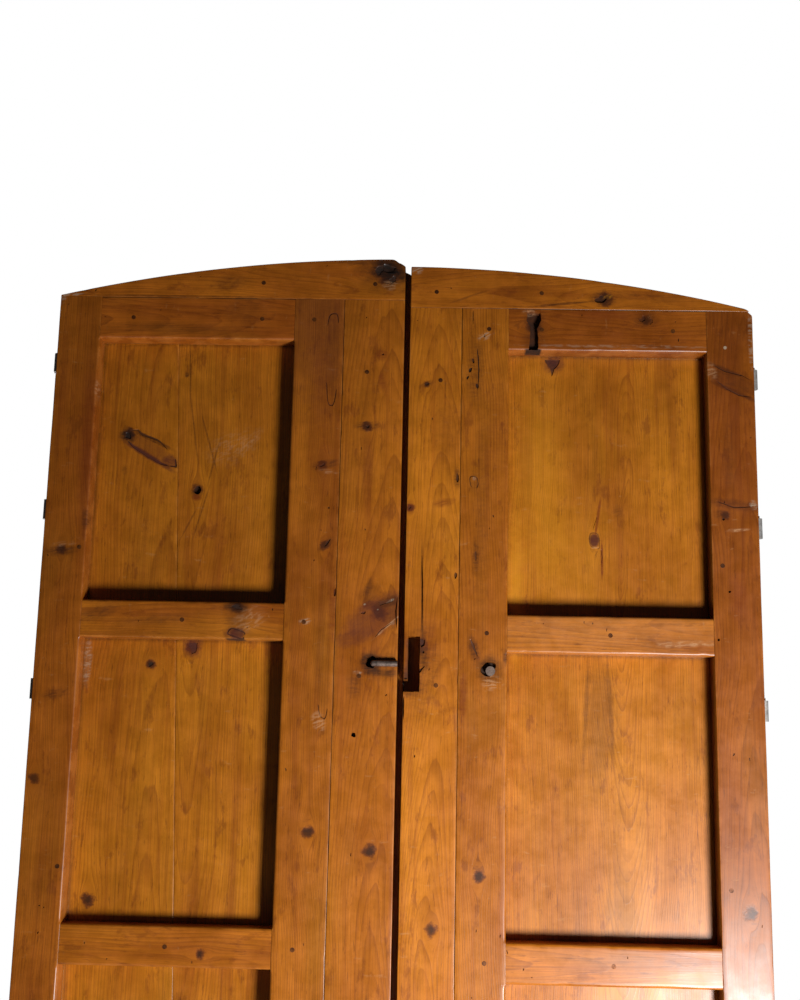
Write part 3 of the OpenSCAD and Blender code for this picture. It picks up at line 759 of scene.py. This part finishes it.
# the knot rings' value far from any knot, where 1 is a knot's own edge
NO_KNOT_NEAR = 9.0

# board: (x of the pith, depth of the pith, slope of the pith, ring width), in mm
GRAIN = {
    "right_middle_board": (408, 62, -0.085, 3.4),
    "left_middle_board": (-372, 46, -0.045, 4.6),
    "left_outer_board": (-440, 75, 0.03, 4.4),
    "right_hinge_stile": (640, 60, 0.03, 3.4),
    "right_meeting_stile": (78, 25, 0.06, 3.6),
    "left_meeting_stile": (-20, 40, 0.05, 3.8),
}

# board: share of the dark red varnish, and a factor on the whole board's brightness
TONE = {
    "left_head_board": (0.6, 1.19), "right_head_board": (0.55, 1.09),
    "left_top_rail": (0.9, 1.08), "right_top_rail": (0.85, 0.95),
    "left_hinge_stile": (0.72, 0.9), "right_hinge_stile": (0.85, 0.76),
    "left_inner_stile": (0.55, 0.92), "right_inner_stile": (0.45, 1),
    "left_meeting_stile": (0.55, 1), "right_meeting_stile": (0.3, 1.15),
}
RAIL_TONE = (0.55, 1)
FIELD_TONE = (0.12, 1)


# ---------------------------------------------------------------- shader helpers


class Graph:
    """Short ways to add linked nodes to a shader tree."""

    def __init__(self, tree):
        self.tree = tree

    def node(self, kind, **settings):
        made = self.tree.nodes.new(kind)
        for key, value in settings.items():
            setattr(made, key, value)
        return made

    def feed(self, socket, value):
        """Links a socket or sets a value; a colour is given without its alpha."""
        if isinstance(value, bpy.types.NodeSocket):
            self.tree.links.new(value, socket)
        else:
            socket.default_value = (*value, 1.0) if socket.type == "RGBA" else value

    def run(self, made, values, output=0):
        for socket, value in values:
            self.feed(made.inputs[socket], value)
        return made.outputs[output]

    def math(self, operation, *values):
        made = self.node("ShaderNodeMath", operation=operation)
        return self.run(made, enumerate(values))

    def plus(self, a, b):
        return self.math("ADD", a, b)

    def minus(self, a, b):
        return self.math("SUBTRACT", a, b)

    def times(self, a, b):
        return self.math("MULTIPLY", a, b)

    def vector(self, operation, *values):
        made = self.node("ShaderNodeVectorMath", operation=operation)
        output = "Value" if operation in ("LENGTH", "DOT_PRODUCT") else "Vector"
        return self.run(made, enumerate(values), output)

    def stretch(self, place, factors):
        return self.vector("MULTIPLY", place, factors)

    def noise(self, place, scale, detail, rough=0.55):
        made = self.node("ShaderNodeTexNoise")
        return self.run(made, [("Vector", place), ("Scale", scale), ("Detail", detail),
                               ("Roughness", rough)])

    def grain(self, place, across, along, detail, rough=0.55):
        """Noise with its own scales across and along the wood's grain."""
        return self.noise(self.stretch(place, (across, along, across)), 1.0, detail, rough)

    def fade(self, value, low, high, out_low=0.0, out_high=1.0):
        made = self.node("ShaderNodeMapRange", interpolation_type="SMOOTHSTEP")
        return self.run(made, enumerate((value, low, high, out_low, out_high)))

    def mix(self, share, a, b, blend="MIX"):
        made = self.node("ShaderNodeMix", data_type="RGBA", blend_type=blend)
        return self.run(made, [(0, share), (6, a), (7, b)], 2)

    def split(self, place):
        return self.run(self.node("ShaderNodeSeparateXYZ"), [(0, place)]).node.outputs

    def join(self, x, y, z):
        return self.run(self.node("ShaderNodeCombineXYZ"), enumerate((x, y, z)))

    def layer(self, name):
        return self.node("ShaderNodeAttribute", attribute_name=name).outputs["Fac"]

    def bump(self, height, strength, distance):
        return self.run(self.node("ShaderNodeBump"), [
            ("Height", height), ("Strength", strength), ("Distance", distance)])


def group(name, inputs, outputs):
    """An empty node group with the given (name, kind) sockets."""
    tree = bpy.data.node_groups.new(name, "ShaderNodeTree")
    for direction, sockets in (("INPUT", inputs), ("OUTPUT", outputs)):
        for socket, kind in sockets:
            tree.interface.new_socket(socket, in_out=direction, socket_type="NodeSocket" + kind)
    graph = Graph(tree)
    return graph, graph.node("NodeGroupInput").outputs, graph.node("NodeGroupOutput").inputs


def build_knot_group():
    """One knot: how far it pushes the grain aside, and its own round pattern."""
    g, given, out = group(
        "Knot",
        [("Place", "Vector"), ("Centre", "Vector"), ("Radius", "Float"), ("Mask", "Float"),
         ("Rings", "Float")],
        [("Place", "Vector"), ("Mask", "Float"), ("Rings", "Float")])
    away = g.vector("SUBTRACT", given["Place"], given["Centre"])
    rough = g.minus(g.noise(given["Place"], 62.0, 4.0, 0.7), 0.5)
    warped = g.times(rough, g.times(given["Radius"], 2.0))
    flat = g.stretch(away, (1.0, 1.0, 0.0))
    distance = g.plus(g.vector("LENGTH", flat), warped)
    ratio = g.math("DIVIDE", distance, given["Radius"])
    # grain flows round the knot as a stream flows round a post
    long_away = g.stretch(away, (1.0, 0.42, 0.0))
    squared = g.math("MAXIMUM", g.vector("DOT_PRODUCT", long_away, long_away), 1e-6)
    radius2 = g.math("POWER", given["Radius"], 2.0)
    push = g.math("MINIMUM", g.math("DIVIDE", radius2, squared), 0.96)
    sideways = g.times(g.split(away)[0], push)
    place = g.vector("SUBTRACT", given["Place"], g.join(sideways, 0.0, 0.0))
    g.feed(out["Place"], place)
    mask = g.fade(ratio, 1.25, 0.72)
    g.feed(out["Mask"], g.math("MAXIMUM", mask, given["Mask"]))
    rings = g.times(g.minus(ratio, given["Rings"]), mask)
    g.feed(out["Rings"], g.plus(given["Rings"], rings))
    return g.tree


def late_wood(g, given, bent):
    """Growth rings round a pith that leaves the board's face slowly: 1 in the dark lines."""
    x, along, _ = g.split(g.vector("SUBTRACT", given["Bent"], given["Pith"]))
    wander = g.grain(bent, 2.0, 1.5, 2.0)
    small = g.grain(bent, 22.0, 3.5, 3.0)
    side = g.plus(x, g.math("MULTIPLY_ADD", wander, 0.10, -0.05))
    deep = g.math("MULTIPLY_ADD", along, given["Slope"], g.split(given["Pith"])[2])
    radius = g.vector("LENGTH", g.join(side, deep, 0.0))
    radius = g.plus(radius, g.math("MULTIPLY_ADD", small, 0.006, -0.003))
    count = g.math("DIVIDE", radius, given["Ring"])
    uneven = g.noise(g.join(count, 0.0, 0.0), 0.45, 1.0)
    count = g.plus(count, g.times(uneven, 1.6))
    share = g.math("FRACT", count)
    late = g.times(g.math("POWER", share, 2.6), g.fade(share, 1.0, 0.93))
    return g.times(late, g.fade(uneven, 0.30, 0.66, 0.35, 1.0))


def knot_colour(g, given, colour, blot, dark):
    """Darker wood round a knot, and the knot's own core."""
    halo = g.times(g.fade(given["Knot rings"], 3.2, 0.9), g.fade(blot, 0.3, 0.6))
    colour = g.mix(g.times(halo, 0.55), colour, dark)
    core = g.mix(g.fade(given["Knot rings"], 0.95, 0.30), (0.14, 0.036, 0.008),
                 (0.040, 0.014, 0.007))
    core = g.mix(g.fade(blot, 0.55, 0.70, 0.0, 0.5), core, (0.28, 0.085, 0.020))
    return g.mix(g.times(given["Mask"], g.fade(blot, 0.25, 0.6, 0.70, 0.95)), colour, core)


def wear_soil_and_shade_colour(g, colour, hollow, blot, streak):
    """Paler wood on worn arrises; old varnish and soiling in the joints, field corners and
    hollows, with painted shade on reveals turned from the light, in field corners and deep in
    holes.
    """
    worn = g.times(g.fade(g.layer("edge"), 0.0042, 0.0008), g.fade(blot, 0.42, 0.62))
    colour = g.mix(g.times(worn, 0.22), colour, (0.62, 0.25, 0.050))
    # soiling in a seam, and painted shade on a stile's side turned from the light
    colour = g.mix(g.times(g.layer("seam"), 0.85), colour, (0.035, 0.011, 0.003))
    # soiling and painted shade near a field's sides and in its corners
    grime_and_shade = g.times(g.fade(g.layer("dirt_and_shade"), 0.007, 0.0), g.fade(streak, 0.2, 0.7, 0.3, 1))
    colour = g.mix(g.times(grime_and_shade, 0.50), colour, (0.030, 0.010, 0.004))
    # soiling in the carved marks, and painted shade deep in the holes and the slot
    return g.mix(hollow, colour, (0.012, 0.006, 0.003))


def build_pine_group():
    """Varnished pine: growth rings, fibres, knots, worn arrises, soiling and scuffs, with
    painted shade on shaded reveals, in corners and hollows, and towards the head.
    """
    g, given, out = group(
        "Pine",
        [("Place", "Vector"), ("Bent", "Vector"), ("Pith", "Vector"), ("Slope", "Float"),
         ("Ring", "Float"), ("Seed", "Vector"), ("Red", "Float"), ("Pale", "Float"),
         ("Mask", "Float"), ("Knot rings", "Float"), ("Height", "Float")],
        [("Color", "Color"), ("Roughness", "Float"), ("Coat", "Float"), ("Bump", "Float")])
    seeded = g.vector("ADD", given["Place"], given["Seed"])
    bent = g.vector("ADD", given["Bent"], given["Seed"])
    late = late_wood(g, given, bent)
    fibre = g.grain(bent, 620.0, 9.0, 2.0)
    streak = g.grain(bent, 120.0, 2.6, 3.0)
    patch = g.grain(seeded, 6.0, 3.0, 4.0)
    blot = g.noise(seeded, 26.0, 4.0, 0.62)

    pale = g.mix(given["Red"], (0.62, 0.215, 0.010), (0.52, 0.135, 0.010))
    dark = g.mix(given["Red"], (0.38, 0.105, 0.006), (0.24, 0.048, 0.005))
    colour = g.mix(g.fade(patch, 0.30, 0.72, 0.0, 0.75), pale, dark)
    colour = g.mix(g.times(late, 0.62), colour, g.mix(0.6, dark, (0.12, 0.024, 0.003)))
    colour = g.mix(g.fade(streak, 0.50, 0.72, 0.0, 0.45), colour, dark)
    # drifts of red, drifts of olive, pores and smudges
    for spread, low, high, most, tint in (
            (g.grain(seeded, 26.0, 1.6, 3.0), 0.55, 0.70, 0.38, (0.20, 0.036, 0.004)),
            (g.grain(seeded, 9.0, 2.2, 2.0), 0.52, 0.75, 0.30, (0.34, 0.135, 0.008)),
            (g.grain(bent, 300.0, 26.0, 4.0, 0.7), 0.585, 0.68, 0.50, (0.15, 0.036, 0.005)),
            (g.grain(seeded, 40.0, 15.0, 5.0, 0.66), 0.575, 0.68, 0.42, (0.17, 0.034, 0.005))):
        colour = g.mix(g.fade(spread, low, high, 0.0, most), colour, tint)
    colour = knot_colour(g, given, colour, blot, dark)
    shade = g.times(given["Pale"], g.fade(fibre, 0.2, 0.8, 0.84, 1.12))
    shade = g.times(shade, g.fade(blot, 0.25, 0.75, 0.86, 1.10))
    # painted shade: darker towards the head, which is farthest from the low key light
    shade = g.times(shade, g.fade(given["Height"], 1.55, 2.45, 1.0, 0.92))
    colour = g.mix(1.0, colour, g.join(shade, shade, shade), "MULTIPLY")

    hollow = g.times(g.layer("hollow"), g.fade(blot, 0.3, 0.6, 0.72, 1.0))
    colour = wear_soil_and_shade_colour(g, colour, hollow, blot, streak)
    scuff = g.fade(g.grain(seeded, 30.0, 90.0, 5.0, 0.7), 0.63, 0.72)
    g.feed(out["Color"], g.mix(g.times(scuff, 0.20), colour, (0.58, 0.28, 0.09)))
    rough = g.plus(g.fade(blot, 0.25, 0.75, 0.30, 0.46), g.times(scuff, 0.2))
    g.feed(out["Roughness"], g.plus(rough, g.times(hollow, 0.4)))
    g.feed(out["Coat"], g.minus(g.fade(patch, 0.3, 0.7, 0.60, 0.25), hollow))
    bump = g.plus(g.plus(g.times(late, 0.30), g.times(fibre, 0.35)), g.times(blot, 0.55))
    g.feed(out["Bump"], g.minus(bump, g.times(given["Mask"], 0.4)))
    return g.tree


def build_stain_group():
    """A soft or broken oval of another colour at a place on a board."""
    g, given, out = group(
        "Stain",
        [("Color", "Color"), ("Place", "Vector"), ("Centre", "Vector"), ("Size", "Vector"),
         ("Lean", "Float"), ("Tint", "Color"), ("Strength", "Float"), ("Soft", "Float"),
         ("Broken", "Float")],
        [("Color", "Color")])
    away = g.vector("SUBTRACT", given["Place"], given["Centre"])
    turned = g.run(g.node("ShaderNodeVectorRotate", rotation_type="Z_AXIS"),
                   [("Vector", away), ("Angle", given["Lean"])])
    ratio = g.vector("LENGTH", g.stretch(g.vector("DIVIDE", turned, given["Size"]),
                                         (1.0, 1.0, 0.0)))
    rough = g.noise(given["Place"], 55.0, 5.0, 0.65)
    ratio = g.plus(ratio, g.math("MULTIPLY_ADD", rough, 1.1, -0.55))
    mask = g.fade(ratio, g.plus(1.0, given["Soft"]), g.minus(1.0, given["Soft"]))
    shifted = g.vector("ADD", turned, given["Size"])
    grain = g.fade(g.grain(shifted, 70.0, 210.0, 3.0, 0.6), 0.44, 0.62)
    whole = g.minus(1.0, given["Broken"])
    patchy = g.plus(whole, g.times(grain, given["Broken"]))
    share = g.times(g.times(mask, patchy), given["Strength"])
    g.feed(out["Color"], g.mix(share, given["Color"], given["Tint"]))
    return g.tree


def new_material(name):
    material = bpy.data.materials.new(name)
    material.use_nodes = True
    material.node_tree.nodes.clear()
    return material, Graph(material.node_tree)


def use_group(g, tree, values):
    made = g.node("ShaderNodeGroup", node_tree=tree)
    for name, value in values.items():
        g.feed(made.inputs[name], value)
    return made.outputs


def finish_surface(g, values):
    """Principled surface from {socket: value}, linked to the material's output."""
    shader = g.node("ShaderNodeBsdfPrincipled")
    for name, value in values.items():
        g.feed(shader.inputs[name], value)
    g.feed(g.node("ShaderNodeOutputMaterial").inputs["Surface"], shader.outputs["BSDF"])


def bend_round_knots(g, name, place, level):
    """A board's place pushed aside by its knots, and the knots' mask and rings there."""
    bent, mask, knot_rings = place, 0.0, NO_KNOT_NEAR
    for x, z, radius in KNOTS.get(name, ()):
        px, pz = at(x, z)
        knot = use_group(g, KNOT, {
            "Place": bent, "Centre": (pz, px, 0.0) if level else (px, pz, 0.0),
            "Radius": radius * MM, "Mask": mask, "Rings": knot_rings})
        bent, mask, knot_rings = knot["Place"], knot["Mask"], knot["Rings"]
    return bent, mask, knot_rings


def lay_stains(g, name, colour, place, on_front):
    """The colour with a board's stains laid over it in their order."""
    for x, z, half_x, half_z, lean, tint, strength, soft, broken in STAINS.get(name, ()):
        stain = use_group(g, STAIN, {
            "Color": colour, "Place": place, "Centre": (*at(x, z), 0.0),
            "Size": (half_x * MM, half_z * MM, 1.0), "Lean": -lean, "Tint": TINTS[tint],
            "Strength": g.times(on_front, strength), "Soft": soft, "Broken": broken})
        colour = stain["Color"]
    return colour


def pine_material(name, kind, level):
    """The board's own pine: its knots, its pith, its tone and its stains."""
    rng = dice(name + " grain")
    low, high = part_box(name)
    mid = (low + high) / 2
    pith_x, depth, slope, ring = GRAIN.get(name, (
        rng.uniform(low.z, high.z) / MM if level else mid.x / MM + rng.uniform(-90, 90),
        rng.uniform(30, 110), rng.choice([-1, 1]) * rng.uniform(0.01, 0.05),
        rng.uniform(3.0, 4.4)))
    red, pale = TONE.get(name, RAIL_TONE if kind == "rail" else FIELD_TONE)
    material, g = new_material("pine_" + name)
    x, y, z = g.split(g.node("ShaderNodeTexCoord").outputs["Object"])
    place = g.join(z, x, y) if level else g.join(x, z, y)
    bent, mask, knot_rings = bend_round_knots(g, name, place, level)
    pine = use_group(g, PINE, {
        "Place": place, "Bent": bent, "Slope": slope, "Ring": ring * MM,
        "Pith": (pith_x * MM, mid.x if level else mid.z, depth * MM),
        "Seed": tuple(rng.uniform(0, 40, 3)), "Red": red, "Pale": pale,
        "Mask": mask, "Knot rings": knot_rings, "Height": z})
    thick = high.y - low.y
    on_front = g.fade(y, low.y + 0.75 * thick, low.y + 0.55 * thick)
    finish_surface(g, {
        "Base Color": lay_stains(g, name, pine["Color"], g.join(x, z, y), on_front),
        "Roughness": pine["Roughness"], "Coat Weight": pine["Coat"],
        "Coat Roughness": 0.27, "Specular IOR Level": 0.35,
        "Normal": g.bump(pine["Bump"], 0.35, 0.0006)})
    return material


def iron_material(name, dark, pale, rust, rough):
    """Forged iron: scale, rust in patches and hammered unevenness."""
    material, g = new_material(name)
    place = g.node("ShaderNodeTexCoord").outputs["Object"]
    patch = g.noise(place, 60.0, 5.0, 0.6)
    fine = g.noise(place, 420.0, 3.0, 0.6)
    colour = g.mix(g.fade(patch, 0.35, 0.65), dark, pale)
    colour = g.mix(g.times(g.fade(fine, 0.45, 0.7), 0.6), colour, rust)
    height = g.plus(patch, g.times(fine, 0.4))
    finish_surface(g, {
        "Base Color": colour, "Metallic": 0.45,
        "Roughness": g.fade(fine, 0.3, 0.7, rough - 0.12, rough + 0.15),
        "Normal": g.bump(height, 0.5, 0.0008)})
    return material


# ---------------------------------------------------------------- the boards


def steady(value):
    """An edge or a top that stays at one value."""
    return lambda along: np.full(np.shape(along), float(value))


def plain_wear(name):
    return lambda along: edge_wear(name, along, PLAIN_ARRIS)


def wide_wear(name, base):
    return lambda along: np.minimum(edge_wear(name, along, base, 0.10, 1), base * 1.25)


def field_wear(name, side, base):
    """Arris radius along a stile: wide beside the fields, small elsewhere."""
    wide, thin = wide_wear(name + "wide", base), plain_wear(name + "thin")

    def wear(along):
        open_share = np.zeros(len(along))
        for low, high in field_heights(side):
            inside = (np.clip((along - low) / FIELD_RAMP, 0, 1)
                      * np.clip((high - along) / FIELD_RAMP, 0, 1))
            open_share = np.maximum(open_share, inside)
        return thin(along) + (wide(along) - thin(along)) * open_share
    return wear


def stile_top(side, name):
    """Flat at the springing line; the right hinge stile has the worn outer corner."""
    if name != "right_hinge_stile":
        return steady(SPRING_Z[side])
    return lambda x: np.minimum(SPRING_Z[side], SPRING_Z[side] + HEAD_HEEL - corner_drop(x))


def corner_soil_and_shade(co, front, fields):
    """Each vertex's distance from the sides of the field it lies in, for soiling and painted
    shade in its corners; a fixed far value elsewhere.
    """
    dirt_and_shade = np.full(len(co), FAR_FROM_FIELD_SIDES)
    on_front = co[:, 1] < front + 6 * MM
    for x0, x1, z0, z1 in fields:
        gap = np.minimum.reduce([co[:, 0] - x0, x1 - co[:, 0], co[:, 2] - z0, z1 - co[:, 2]])
        inside = on_front & (gap > -3 * MM)
        dirt_and_shade = np.where(inside, np.minimum(dirt_and_shade, np.maximum(gap, 0)), dirt_and_shade)
    return dirt_and_shade


def hollow_darkness(co, front, back, hollows):
    """How dark each vertex is for lying in a carved hollow: soiling in the marks, and painted
    shade deep in the holes and the slot.
    """
    sunk = np.clip((co[:, 1] - front - 0.75 * MM) / (0.35 * MM), 0, 1)
    sunk = sunk * (co[:, 1] < back - 2 * MM)
    dark = np.zeros(len(co))
    for outline, _, _, darkness in hollows:
        shape = np.asarray(outline)
        centre, half = (shape.min(0) + shape.max(0)) / 2, np.ptp(shape, 0) / 2 + 0.6 * MM
        inside = np.all(np.abs(co[:, ::2] - centre) < half, 1)
        dark = np.maximum(dark, inside * sunk * darkness)
    return dark


def measure_layers(mesh, front, back, level, edges, seam_soil_and_shade, hollows, fields):
    """Stores for each vertex how near an edge and a field's side it is, and its soiling and
    painted shade.
    """
    co = np.empty(len(mesh.vertices) * 3)
    mesh.vertices.foreach_get("co", co)
    co = co.reshape(-1, 3)
    along, across = (co[:, 0], co[:, 2]) if level else (co[:, 2], co[:, 0])
    gaps = [np.abs(across - edge(along)) for edge in edges]
    # soiling in a seam, and painted shade on a stile's side turned from the light, both on the
    # side faces
    seam_and_shade_bands = [dark * (gap < SEAM_BAND) for dark, gap in zip(seam_soil_and_shade, gaps)]
    between = (co[:, 1] > front + 0.45 * MM) & (co[:, 1] < back - 0.3 * MM)
    layers = {"edge": np.minimum(*gaps), "dirt_and_shade": corner_soil_and_shade(co, front, fields),
              "hollow": hollow_darkness(co, front, back, hollows),
              "seam": np.maximum(*seam_and_shade_bands) * between}
    for name, values in layers.items():
        mesh.attributes.new(name, "FLOAT", "POINT").data.foreach_set("value", values)


def add_board(name, kind, shape, edges, wears, seam_soil_and_shade, fields=()):
    """Builds one board, carves its marks and hangs it on its leaf in place of the CAD node.

    kind is stile, rail, head or field. shape is the top of an upright board, as a function
    of x, or the two ends of a level one. joined says how dark the two long edges' side faces
    are:
    soiling, 1 in a seam and 0 in the open, and painted shade on a stile's side turned from the
    light.
    """
    side, short_name = name.split("_", 1)
    level = kind in ("rail", "head")
    front, back = (BOARD_FRONT, BOARD_BACK) if kind == "field" else (FRONT, BOARD_FRONT)
    if level:
        piece = level_board("board." + name, front, back, shape, edges, wears,
                            END_ARRIS if kind == "head" else 0.0)
    else:
        piece = upright_board("board." + name, side, front, back, edges, shape, wears)
    hollows = HOLLOWS.get(name, []) + dings(name, DENTED.get(short_name, 0))
    carve(piece, front, hollows)
    measure_layers(piece.data, front, back, level, edges, seam_soil_and_shade, hollows, fields)
    piece.data.materials.clear()
    piece.data.materials.append(pine_material(name, kind, level))
    piece.data.shade_smooth()
    piece.data.set_sharp_from_angle(angle=math.radians(38))
    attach(piece, side + "_leaf")
    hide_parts(name)


def plain_wears(name):
    return [plain_wear(name + "0"), plain_wear(name + "1")]


def add_stiles(side):
    left = side == "left"
    for name in ("hinge_stile", "inner_stile", "meeting_stile"):
        full = f"{side}_{name}"
        low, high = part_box(full)
        wears = plain_wears(full)
        seam_soil_and_shade = [0.0, 0.0] if name == "hinge_stile" else [1.0, 1.0]
        if name == "meeting_stile":
            seam_soil_and_shade[1 if left else 0] = 0.0
        else:
            # the edge beside the fields, 0 on the left and 1 on the right of the stile
            beside = 1 if (name == "hinge_stile") == left else 0
            crisp = full == "right_hinge_stile"
            wears[beside] = field_wear(full, side, CRISP_ARRIS if crisp else FIELD_ARRIS)
            # painted shade: the stile's left side faces the field away from the key light on
            # the right
            seam_soil_and_shade[beside] = 0.0 if beside else PAINTED_REVEAL_SHADE
        add_board(full, "stile", stile_top(side, full), (steady(low.x), steady(high.x)),
                  wears, seam_soil_and_shade)


def add_rails(side):
    for name in RAILS:
        full = f"{side}_{name}"
        low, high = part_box(full)
        wears = [wide_wear(full + "0", FIELD_ARRIS), wide_wear(full + "1", FIELD_ARRIS)]
        if name == "bottom_rail":
            wears[0] = plain_wear(full + "0")
        if name == "top_rail":
            wears[1] = plain_wear(full + "1")
        add_board(full, "rail", FIELD_X[side], (steady(low.z), steady(high.z)), wears,
                  seam_soil_and_shade=(0.0, 1.0 if name == "top_rail" else 0.0))


def add_head_board(side):
    full = f"{side}_head_board"
    ends = (-HALF_W, GAP_X[0]) if side == "left" else (GAP_X[1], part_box(full)[1].x)
    add_board(full, "head", ends, (steady(SPRING_Z[side]), lambda x: head_z(side, x)),
              plain_wears(full), seam_soil_and_shade=(1.0, 0.0))


def add_closing_boards(side):
    """The upright boards behind the frame, which show as its fields."""
    def seam(z):
        return seam_x(side, z)

    middle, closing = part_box(f"{side}_middle_board"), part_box(f"{side}_closing_board")
    if side == "left":
        lines = {"outer_board": (steady(-HALF_W), seam),
                 "middle_board": (seam, steady(middle[1].x)),
                 "closing_board": (steady(closing[0].x), steady(closing[1].x))}
    else:
        lines = {"outer_board": (seam, steady(HALF_W)),
                 "middle_board": (steady(middle[0].x), seam),
                 "closing_board": (steady(closing[0].x - TONGUE_SHUT), steady(closing[1].x))}
    fields = [(*FIELD_X[side], z0, z1) for z0, z1 in field_heights(side)]
    for name, edges in lines.items():
        full = f"{side}_{name}"
        add_board(full, "field", lambda x: head_z(side, x), edges, plain_wears(full),
                  [FAINT_SEAM if edge is seam else 1.0 for edge in edges], fields)


# words in a node's name: its iron's name, dark, pale and rust colours, roughness, soft edge
IRON = {
    ("eye", "pintle"): ("knuckle_iron", (0.34, 0.33, 0.32), (0.60, 0.58, 0.55),
                        (0.22, 0.15, 0.10), 0.55, 0.6 * MM),
    ("rod", "stub"): ("latch_iron", (0.060, 0.045, 0.038), (0.30, 0.22, 0.18),
                      (0.10, 0.040, 0.020), 0.45, 0.6 * MM),
    ("nails",): ("nail_iron", (0.085, 0.024, 0.005), (0.23, 0.070, 0.012),
                 (0.040, 0.014, 0.005), 0.45, 0.2 * MM),
}


def dress_iron():
    """Materials and softened edges for the CAD's own iron nodes."""
    for words, (iron, *colours, rough, soft_edge) in IRON.items():
        material = iron_material(iron, *colours, rough)
        for name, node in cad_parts.items():
            if not any(word in name for word in words):
                continue
            node.data.materials.clear()
            node.data.materials.append(material)
            bevel = node.modifiers.new("softened", "BEVEL")
            bevel.width = soft_edge
            bevel.segments = 2
            bevel.limit_method = "ANGLE"
            bevel.angle_limit = math.radians(35)


# ---------------------------------------------------------------- floor, light, camera

FLOOR_HALF = 2.6


def add_floor():
    half = FLOOR_HALF
    corners = [(-half, -half, 0), (half, -half, 0), (half, half, 0), (-half, half, 0)]
    floor = add_mesh("floor", corners, [(0, 1, 2, 3)])
    material, g = new_material("floor")
    finish_surface(g, {"Base Color": (0.80, 0.80, 0.80), "Roughness": 0.9})
    floor.data.materials.append(material)


def add_area(name, place, target, size, power):
    """A round light at a place, turned towards its target."""
    light = bpy.data.lights.new(name, "AREA")
    light.shape = "DISK"
    light.size = size
    light.energy = power
    lamp = add_object(name, light)
    aim = Vector(target) - Vector(place)
    lamp.location = place
    lamp.rotation_euler = aim.to_track_quat("-Z", "Y").to_euler()


def set_world(lit, seen):
    """A dim soft room for the light, seen as plain white."""
    world = bpy.data.worlds.new("room")
    bpy.context.scene.world = world
    world.use_nodes = True
    world.node_tree.nodes.clear()
    g = Graph(world.node_tree)
    path = g.node("ShaderNodeLightPath")
    strength = g.math("MULTIPLY_ADD", path.outputs["Is Camera Ray"], seen - lit, lit)
    background = g.node("ShaderNodeBackground")
    g.feed(background.inputs["Color"], (1, 1, 1))
    g.feed(background.inputs["Strength"], strength)
    g.feed(g.node("ShaderNodeOutputWorld").inputs["Surface"], background.outputs[0])


def add_camera(place, pitch, yaw, roll, lens):
    """A camera that looks up by pitch, to the right by yaw, and is tilted by roll."""
    forward = Vector((math.sin(yaw) * math.cos(pitch), math.cos(yaw) * math.cos(pitch),
                      math.sin(pitch)))
    right = Vector((math.cos(yaw), -math.sin(yaw), 0))
    up = right.cross(forward)
    turned_right = math.cos(roll) * right + math.sin(roll) * up
    turned_up = -math.sin(roll) * right + math.cos(roll) * up
    rows = Matrix((turned_right, turned_up, -forward)).transposed().to_4x4()
    rows.translation = place
    camera = add_object("camera", bpy.data.cameras.new("camera"))
    camera.data.lens = lens
    camera.data.sensor_width = 36
    camera.matrix_world = rows
    bpy.context.scene.camera = camera


KNOT = build_knot_group()
PINE = build_pine_group()
STAIN = build_stain_group()
for leaf in ("left", "right"):
    add_stiles(leaf)
    add_rails(leaf)
    add_head_board(leaf)
    add_closing_boards(leaf)
dress_iron()

add_floor()
set_world(lit=0.02, seen=1.0)
add_area("key", place=(0.98, -1.41, 0.71), target=(0.0, FRONT, 1.75), size=0.50, power=50)
add_area("back fill", place=(-0.8, 2.2, 2.2), target=(0, 0, 1.2), size=1.6, power=60)
bpy.context.scene.view_settings.view_transform = "Standard"
add_camera(place=(0.0565, -2.328, 1.600), pitch=math.radians(10.66),
           yaw=math.radians(-1.43), roll=math.radians(1.21), lens=45.0)
